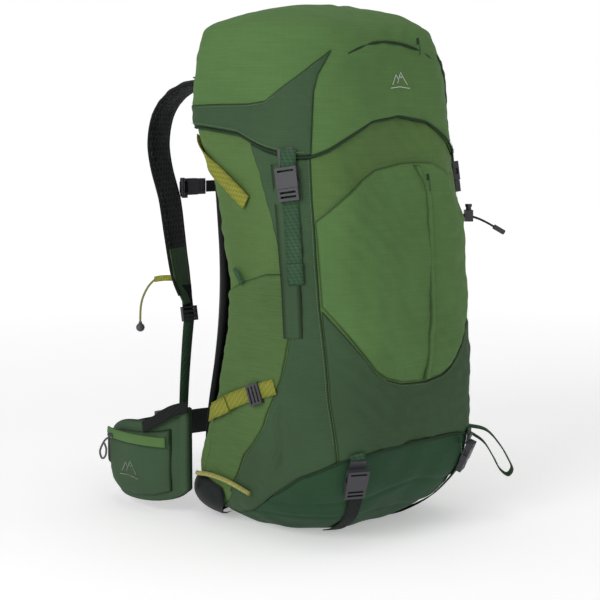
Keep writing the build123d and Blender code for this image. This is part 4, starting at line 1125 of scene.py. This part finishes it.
def hip_pull(side, word):
    """Slider of the hip pocket's zip with its moulded loop."""
    start = np.array([side * 0.1689, 0.256, 0.094])
    track = ((0.002, 0.001, -0.002), (0.0045, 0.007, -0.006), (0.0050, 0.014, -0.014),
             (0.0050, 0.020, -0.026),
             (0.0045, 0.016, -0.034), (0.0045, 0.009, -0.030), (0.0040, 0.007, -0.020),
             (0.0040, 0.011, -0.012))
    points = [start + [side * dx, dy, dz] for dx, dy, dz in track]
    loop = tube("hip_pull_loop_" + word, points, 0.0014, pull_plastic, 10, 80)
    points = [start + [side * 0.0010, dy, 0.0005] for dy in (-0.005, -0.002, 0.002, 0.005)]
    slider = tube("hip_slider_" + word, points, 0.0026, buckle_plastic, 8, 12)
    slider.parent = loop
    finish_piece(loop, "hip_pull_" + word, "pull_plastic", "hip_pull_" + word)


def hip_webbing(side, word):
    """Belt webbing with its lead from the wing, and the stabiliser strap."""
    body = "wing_" + word
    track = ((0.128, 0.306), (0.110, 0.322), (0.084, 0.336), (0.054, 0.343), (0.026, 0.3443), (0.012, 0.3445))
    line = smooth_line([(side * x, y, 0.068) for x, y in track], 50)
    outer = np.cross(unit(np.gradient(line, axis=0)), [0, 0, 1.0]) * side
    belt = ribbon("belt_band_" + word, line, outer, 0.037, 0.0014, black_webbing)
    finish_piece(belt, body, "black_webbing", "belt_webbing_" + word)
    track = ((0.1605, 0.255, 0.066), (0.1490, 0.287, 0.067), (0.134, 0.309, 0.068))
    line = smooth_line([(side * x, y, z) for x, y, z in track], 20)
    lead = ribbon("belt_lead_" + word, line, (side * 0.9, 0.5, 0), 0.036, 0.0014, black_webbing)
    finish_piece(lead, body, "black_webbing")
    track = ((0.150, 0.118, 0.150), (0.162, 0.140, 0.142), (0.168, 0.162, 0.128), (0.1705, 0.186, 0.116))
    line = smooth_line([(side * x, y, z) for x, y, z in track], 24)
    stabiliser = ribbon("stabiliser_" + word, line, (side, 0.05, 0.25), 0.016, 0.0014, black_webbing)
    finish_piece(stabiliser, body, "black_webbing")


for side, word in SIDES:
    hip_wing(side, word)
    hip_pull(side, word)
    hip_webbing(side, word)


# ------------------------------------------------------------ back panel, lumbar pad, loops
def slab(name, front, back, material, uv):
    """Closed sheet between two grids of points."""
    n, m = front.shape[:2]
    quads = grid_faces(n, m)
    rim = np.concatenate([np.arange(m), np.arange(1, n) * m + m - 1, (n - 1) * m + np.arange(m - 1)[::-1],
                          np.arange(1, n - 1)[::-1] * m])
    after = np.roll(rim, -1)
    walls = np.stack([rim, after, after + n * m, rim + n * m], 1)
    faces = np.concatenate([quads, quads[:, ::-1] + n * m, walls])
    return make_mesh(name, np.stack([front, back]), faces, material, np.tile(uv.reshape(-1, 2), (2, 1)))


yoke_back = float(skin(5, HINGE - 0.012)[1])
low_y = float(skin(5, 0.072)[1]) + 0.0049
rail = smooth_line([(low_y, 0.074, 0), (low_y - 0.006, 0.132, 0), (0.092, 0.300, 0),
                    (yoke_back - 0.0013, 0.490, 0), (yoke_back + 0.0007, 0.512, 0)], 160 // FINE)
MESH_HALF = 0.1075
x, z = np.meshgrid(np.linspace(-MESH_HALF, MESH_HALF, 90 // FINE), rail[:, 1])
bow = 0.0024 * (1 - (x / MESH_HALF) ** 2)
y = rail[:, :1] + 0.0041 + bow + 0.0004 * waves(np.stack([x, 0 * x, z], -1), 0.05, 151)
mesh_panel = slab("back_mesh_cloth", np.stack([x, y - 0.0026, z], -1), np.stack([x, y, z], -1), panel_mesh,
                  np.stack([x, z], -1))
finish_piece(mesh_panel, "bag", "back_mesh_black", "back_mesh")
for side, word in SIDES:
    line = [(side * 0.1078, y - 0.0006, z) for y, z, nil in rail[::8 // FINE]]
    sleeve = tube("frame_sleeve_" + word, line, 0.0042, black_cloth, 12, 120 // FINE)
    finish_piece(sleeve, "bag", "back_mesh_black")

LUMBAR_HALF, LUMBAR_RISE, LUMBAR_Z = 0.075, 0.038, 0.108
lumbar_y = low_y + 0.0058
u, v = np.meshgrid(np.linspace(-1, 1, 90 // FINE), np.linspace(-1, 1, 56 // FINE))
x, z = LUMBAR_HALF * u * np.sqrt(1 - 0.18 * v * v), LUMBAR_Z + LUMBAR_RISE * v * np.sqrt(1 - 0.10 * u * u)
rise = pillow(1 - np.maximum(np.abs(u), np.abs(v)), 0.34)
ridges = 0.0016 * np.exp(-((np.abs(u) - 0.42) / 0.035) ** 2) + 0.0012 * np.exp(-(v / 0.05) ** 2)
lumbar = slab("lumbar_cushion", np.stack([x, 0 * u + lumbar_y + 0.0004, z], -1),
              np.stack([x, lumbar_y + 0.0015 + (0.0105 - ridges) * rise, z], -1), strap_mesh,
              np.stack([u * LUMBAR_HALF, v * LUMBAR_RISE], -1))
finish_piece(lumbar, "bag", "foam_black", "lumbar_pad")

track = ((0.0008, -0.008), (0.014, -0.0085), (0.0235, -0.019), (0.0235, -0.031), (0.014, -0.0415),
         (0.0008, -0.042))
haul = smooth_line([(0, yoke_back + y, HINGE + z) for y, z in track], 60)
haul_facing = np.cross(unit(np.gradient(haul, axis=0)), [-1.0, 0, 0])
haul_band = ribbon("haul_loop_webbing", haul, haul_facing, 0.038, 0.0022, dark_webbing)
finish_piece(haul_band, "bag", "dark_webbing", "haul_loop")

# The ice-axe loop hangs out from the corner of the bottom seam: out and down in millimetres
SHARE = math.sqrt(0.5)
corner_out, corner_across = np.array([SHARE, -SHARE, 0]), np.array([SHARE, SHARE, 0])
loop_root = skin(turn_of(0.1335, 0.123), 0.123) + 0.0012 * corner_out
track = ((-1.0, -2), (24, -8), (42, -27), (54, -47), (59.5, -61), (54, -68.5), (44, -62), (34, -44),
         (21, -24), (4, -12))
loop_line = smooth_line([loop_root + corner_out * out / 1000 + [0, 0, down / 1000] for out, down in track],
                        110)
facing = unit(np.cross(unit(np.gradient(loop_line, axis=0)), corner_across))
axe_loop = ribbon("ice_axe_webbing", loop_line, facing, 0.019, 0.0019, dark_webbing)
finish_piece(axe_loop, "bag", "dark_webbing", "ice_axe_loop")

# Two-peak mark on the lid and on the hip pockets, its strokes in millimetres
MARK = [[(-13, -5), (-5, 6), (-1, 0.5)], [(-3.5, -3), (4, 8.5), (14, -5)],
        [(-17, -8.5), (0, -6.8), (17, -8.5)], [(1.6, 4.4), (4, 2.6), (6.4, 4.4)]]
for k, stroke in enumerate(MARK):
    corners = 8 * np.arange(len(stroke))
    u, v = [np.interp(np.arange(corners[-1] + 1), corners, row) / 1000 for row in np.array(stroke).T]
    z = 0.570 + 1.15 * v
    C = turn_of(0.006 + u, z)
    base, normal = skin(C, z), skin_normal(C, z)
    line = base + normal * (lid_height(base, C, z) + 0.0004)[:, None]
    finish_piece(ribbon("lid_mark_%d" % k, line, normal, 0.0013, 0.0006, mark_cloth), "lid", "green_nylon")
    for side, word in SIDES:
        y, z = 0.212 - 1.15 * u, 0.056 + 1.3 * v
        slope = np.interp(y, wing_plan[:, 1], np.gradient(wing_plan[:, 0], wing_plan[:, 1]))
        out = wing_facing(side, y, slope)
        line = np.stack([side * wing_x(y), y, z], -1) + out * 0.01545
        mark = ribbon("hip_mark_%s_%d" % (word, k), line, out, 0.0013, 0.0016, mark_cloth)
        finish_piece(mark, "wing_" + word, "dark_nylon")


# ------------------------------------------------------------ free cords and the tip loop
BUNGEE_Z, BUNGEE_TURN = 0.398, math.radians(37)
half, front, back, rf, rb = [float(v) for v in section(BUNGEE_Z)]
bungee_root = np.array([half - rf + (rf + 0.001) * math.cos(BUNGEE_TURN),
                        front + rf - (rf + 0.001) * math.sin(BUNGEE_TURN), BUNGEE_Z])
BUNGEE_RUNS = ((1.2, 0, 3.4), (13.2, -1, 2.6), (25.2, -4, 2.6), (37.2, -9, 2.6), (49.2, -16, 2.2))
for sign, word, fitting in ((-1, "near", "cord_lock_body"), (1, "far", "bungee_barrel")):
    points = [bungee_root + (corner_out * out + corner_across * sign * apart + [0, 0, down]) / 1000
              for out, down, apart in BUNGEE_RUNS]
    strand = cord_curve("bungee_cord_" + word, points, 0.003, grey_cord)
    finish_piece(strand, "bag", "elastic_grey", "bungee_" + word)

POLE_X = -108.036
loop_points = place_in_mm([(POLE_X, 232, 306), (POLE_X, 242, 300), (POLE_X, 253, 289), (POLE_X, 262, 275),
                           (POLE_X, 266, 259), (POLE_X, 266, 244)])
pole_cord = cord_curve("pole_loop_cord", loop_points, 0.003, lime_cord)
finish_piece(pole_cord, "harness", "lime_cord", "pole_loop")
keeper_line = smooth_line(place_in_mm([(-100, 206, 309), (-104.5, 217, 308.5), (-107.5, 227, 307),
                                       (POLE_X, 233.5, 305.5)]), 16)
keeper = ribbon("pole_loop_tab", keeper_line, (-1.0, 0.3, 0.0), 0.008, 0.0014, lime_webbing)
finish_piece(keeper, "harness", "lime_webbing")

tip_points = []
TIP_CLEAR = 6.8            # from the skin to the middle of the tube, over its seam
for along, height in ((104, 64), (72, 68), (40, 65), (2, 55)):
    half, front, back, rf, rb = [float(v) * 1000 for v in section(height / 1000)]
    past_corner = max(0.0, along - (back - rb))
    reach = math.sqrt((rb + TIP_CLEAR) ** 2 - past_corner ** 2)
    tip_points.append((-(half - rb + reach), along, height))
tip_loop = tube("pole_tip_cord", place_in_mm(tip_points), 0.0030, lime_cord, 12, 90)
finish_piece(tip_loop, "bag", "lime_cord", "pole_tip_loop")


# ------------------------------------------------------------ moulded pieces and the frame
def soften(node):
    bevel = node.modifiers.new("soft_edges", "BEVEL")
    bevel.width = 0.0007
    bevel.segments = 2
    bevel.limit_method = "ANGLE"
    bevel.angle_limit = math.radians(40)


CARRIED = {
    buckle_plastic: ["lid_clip_left", "lid_clip_right", "pad_clip_left", "pad_clip_right", "lid_sockets",
                     "pad_sockets", "chest_clip", "chest_socket", "belt_clip", "belt_socket",
                     "side_strap_locks",
                     "strap_locks", "cord_lock_body", "cord_lock_button", "bungee_barrel"],
    pull_plastic: ["pole_loop_ball"],
    inner_nylon: ["collar"],
    wire_steel: ["frame_wire"],
}
for material, names in CARRIED.items():
    for name in names:
        if not nodes[name].data.materials:
            nodes[name].data.materials.append(material)
        for slot in nodes[name].material_slots:
            slot.link = "OBJECT"
            slot.material = material
        if material is buckle_plastic:
            soften(nodes[name])

for name, proud in (("front_slider", 0.0010), ("bottom_slider", 0.0020), ("lid_slider", 0.0020)):
    lo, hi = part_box(name)
    x, y, top = (lo.x + hi.x) / 2, lo.y + proud, hi.z
    points = [(x, y + 0.001, top - 0.003), (x, y, top - 0.007), (x, y, top - 0.011)]
    head = tube(name + "_head", points, 0.0019, piping_cloth, 10, 10)
    points = [(x, y - 0.002, top - 0.010), (x + 0.001, y - 0.0026, top - 0.018),
              (x + 0.0015, y - 0.002, top - 0.024)]
    tag = tube(name + "_tag", points, 0.0011, dark_webbing, 8, 14)
    tag.parent = head
    finish_piece(head, name, "zip_metal", name)


# ------------------------------------------------------------ floor and lights
def studio_sheet(name, points, faces, colour, rough, specular):
    """A glowing sheet of the studio, and its material's nodes."""
    data = bpy.data.meshes.new(name)
    data.from_pydata(points, [], faces)
    sheet = bpy.data.objects.new(name, data)
    scene.collection.objects.link(sheet)
    paper = Nodes("pale_" + name)
    paper.done(colour, rough, None, 0.0, None, specular)
    paper.shader.inputs["Emission Color"].default_value = (1, 1, 1, 1)
    data.materials.append(paper.mat)
    return sheet, paper


WIDE, FLOOR_Z = 9, -0.0006
floor_corners = [(-WIDE, -WIDE, FLOOR_Z), (WIDE, -WIDE, FLOOR_Z), (WIDE, WIDE, FLOOR_Z),
                 (-WIDE, WIDE, FLOOR_Z)]
floor, paper = studio_sheet("floor", floor_corners, [(0, 1, 2, 3)], (0.85, 0.85, 0.85, 1), 0.9, 0.1)
# Painted light: the floor glows, weakest within 0.8 m of the origin and strongest past 3.2 m from it.
away = paper.vector("LENGTH", paper.mapped("Object", (1, 1, 1)))
paper.link(paper.span(away, 0.8, 3.2, 0.36, 0.66), paper.shader.inputs["Emission Strength"])

world = bpy.data.worlds.new("studio")
world.use_nodes = True
sky = world.node_tree.nodes["Background"]
sky.inputs["Color"].default_value = (1.0, 1.0, 1.0, 1)
sky.inputs["Strength"].default_value = 0.45
scene.world = world

WALL_SIDES, WALL_RADIUS = 48, 7.5
turns = [2 * math.pi * k / WALL_SIDES for k in range(WALL_SIDES)]
wall_points = [(math.sin(a) * WALL_RADIUS, math.cos(a) * WALL_RADIUS, z) for a in turns for z in (-0.5, 9.0)]
wall_faces = [(2 * k, 2 * ((k + 1) % WALL_SIDES), 2 * ((k + 1) % WALL_SIDES) + 1, 2 * k + 1)
              for k in range(WALL_SIDES)]
wall, glow = studio_sheet("wall", wall_points, wall_faces, (0, 0, 0, 1), 1.0, 0.0)
glow.shader.inputs["Emission Strength"].default_value = 1.0
wall.visible_diffuse = False
wall.visible_glossy = False
wall.visible_shadow = False


def softbox(name, place, aim, size, power):
    data = bpy.data.lights.new(name, "AREA")
    data.shape = "RECTANGLE"
    data.size, data.size_y = size
    data.energy = power
    light = bpy.data.objects.new(name, data)
    light.location = place
    light.rotation_euler = (Vector(aim) - Vector(place)).to_track_quat("-Z", "Y").to_euler()
    scene.collection.objects.link(light)


softbox("key", (-2.6, -0.35, 1.5), (-0.05, 0, 0.35), (1.3, 1.7), 33)
softbox("front_fill", (-0.6, -2.8, 1.1), (0, 0, 0.3), (1.8, 1.4), 4)
softbox("top", (0.3, -0.2, 2.6), (0, 0, 0.3), (1.8, 1.8), 10)
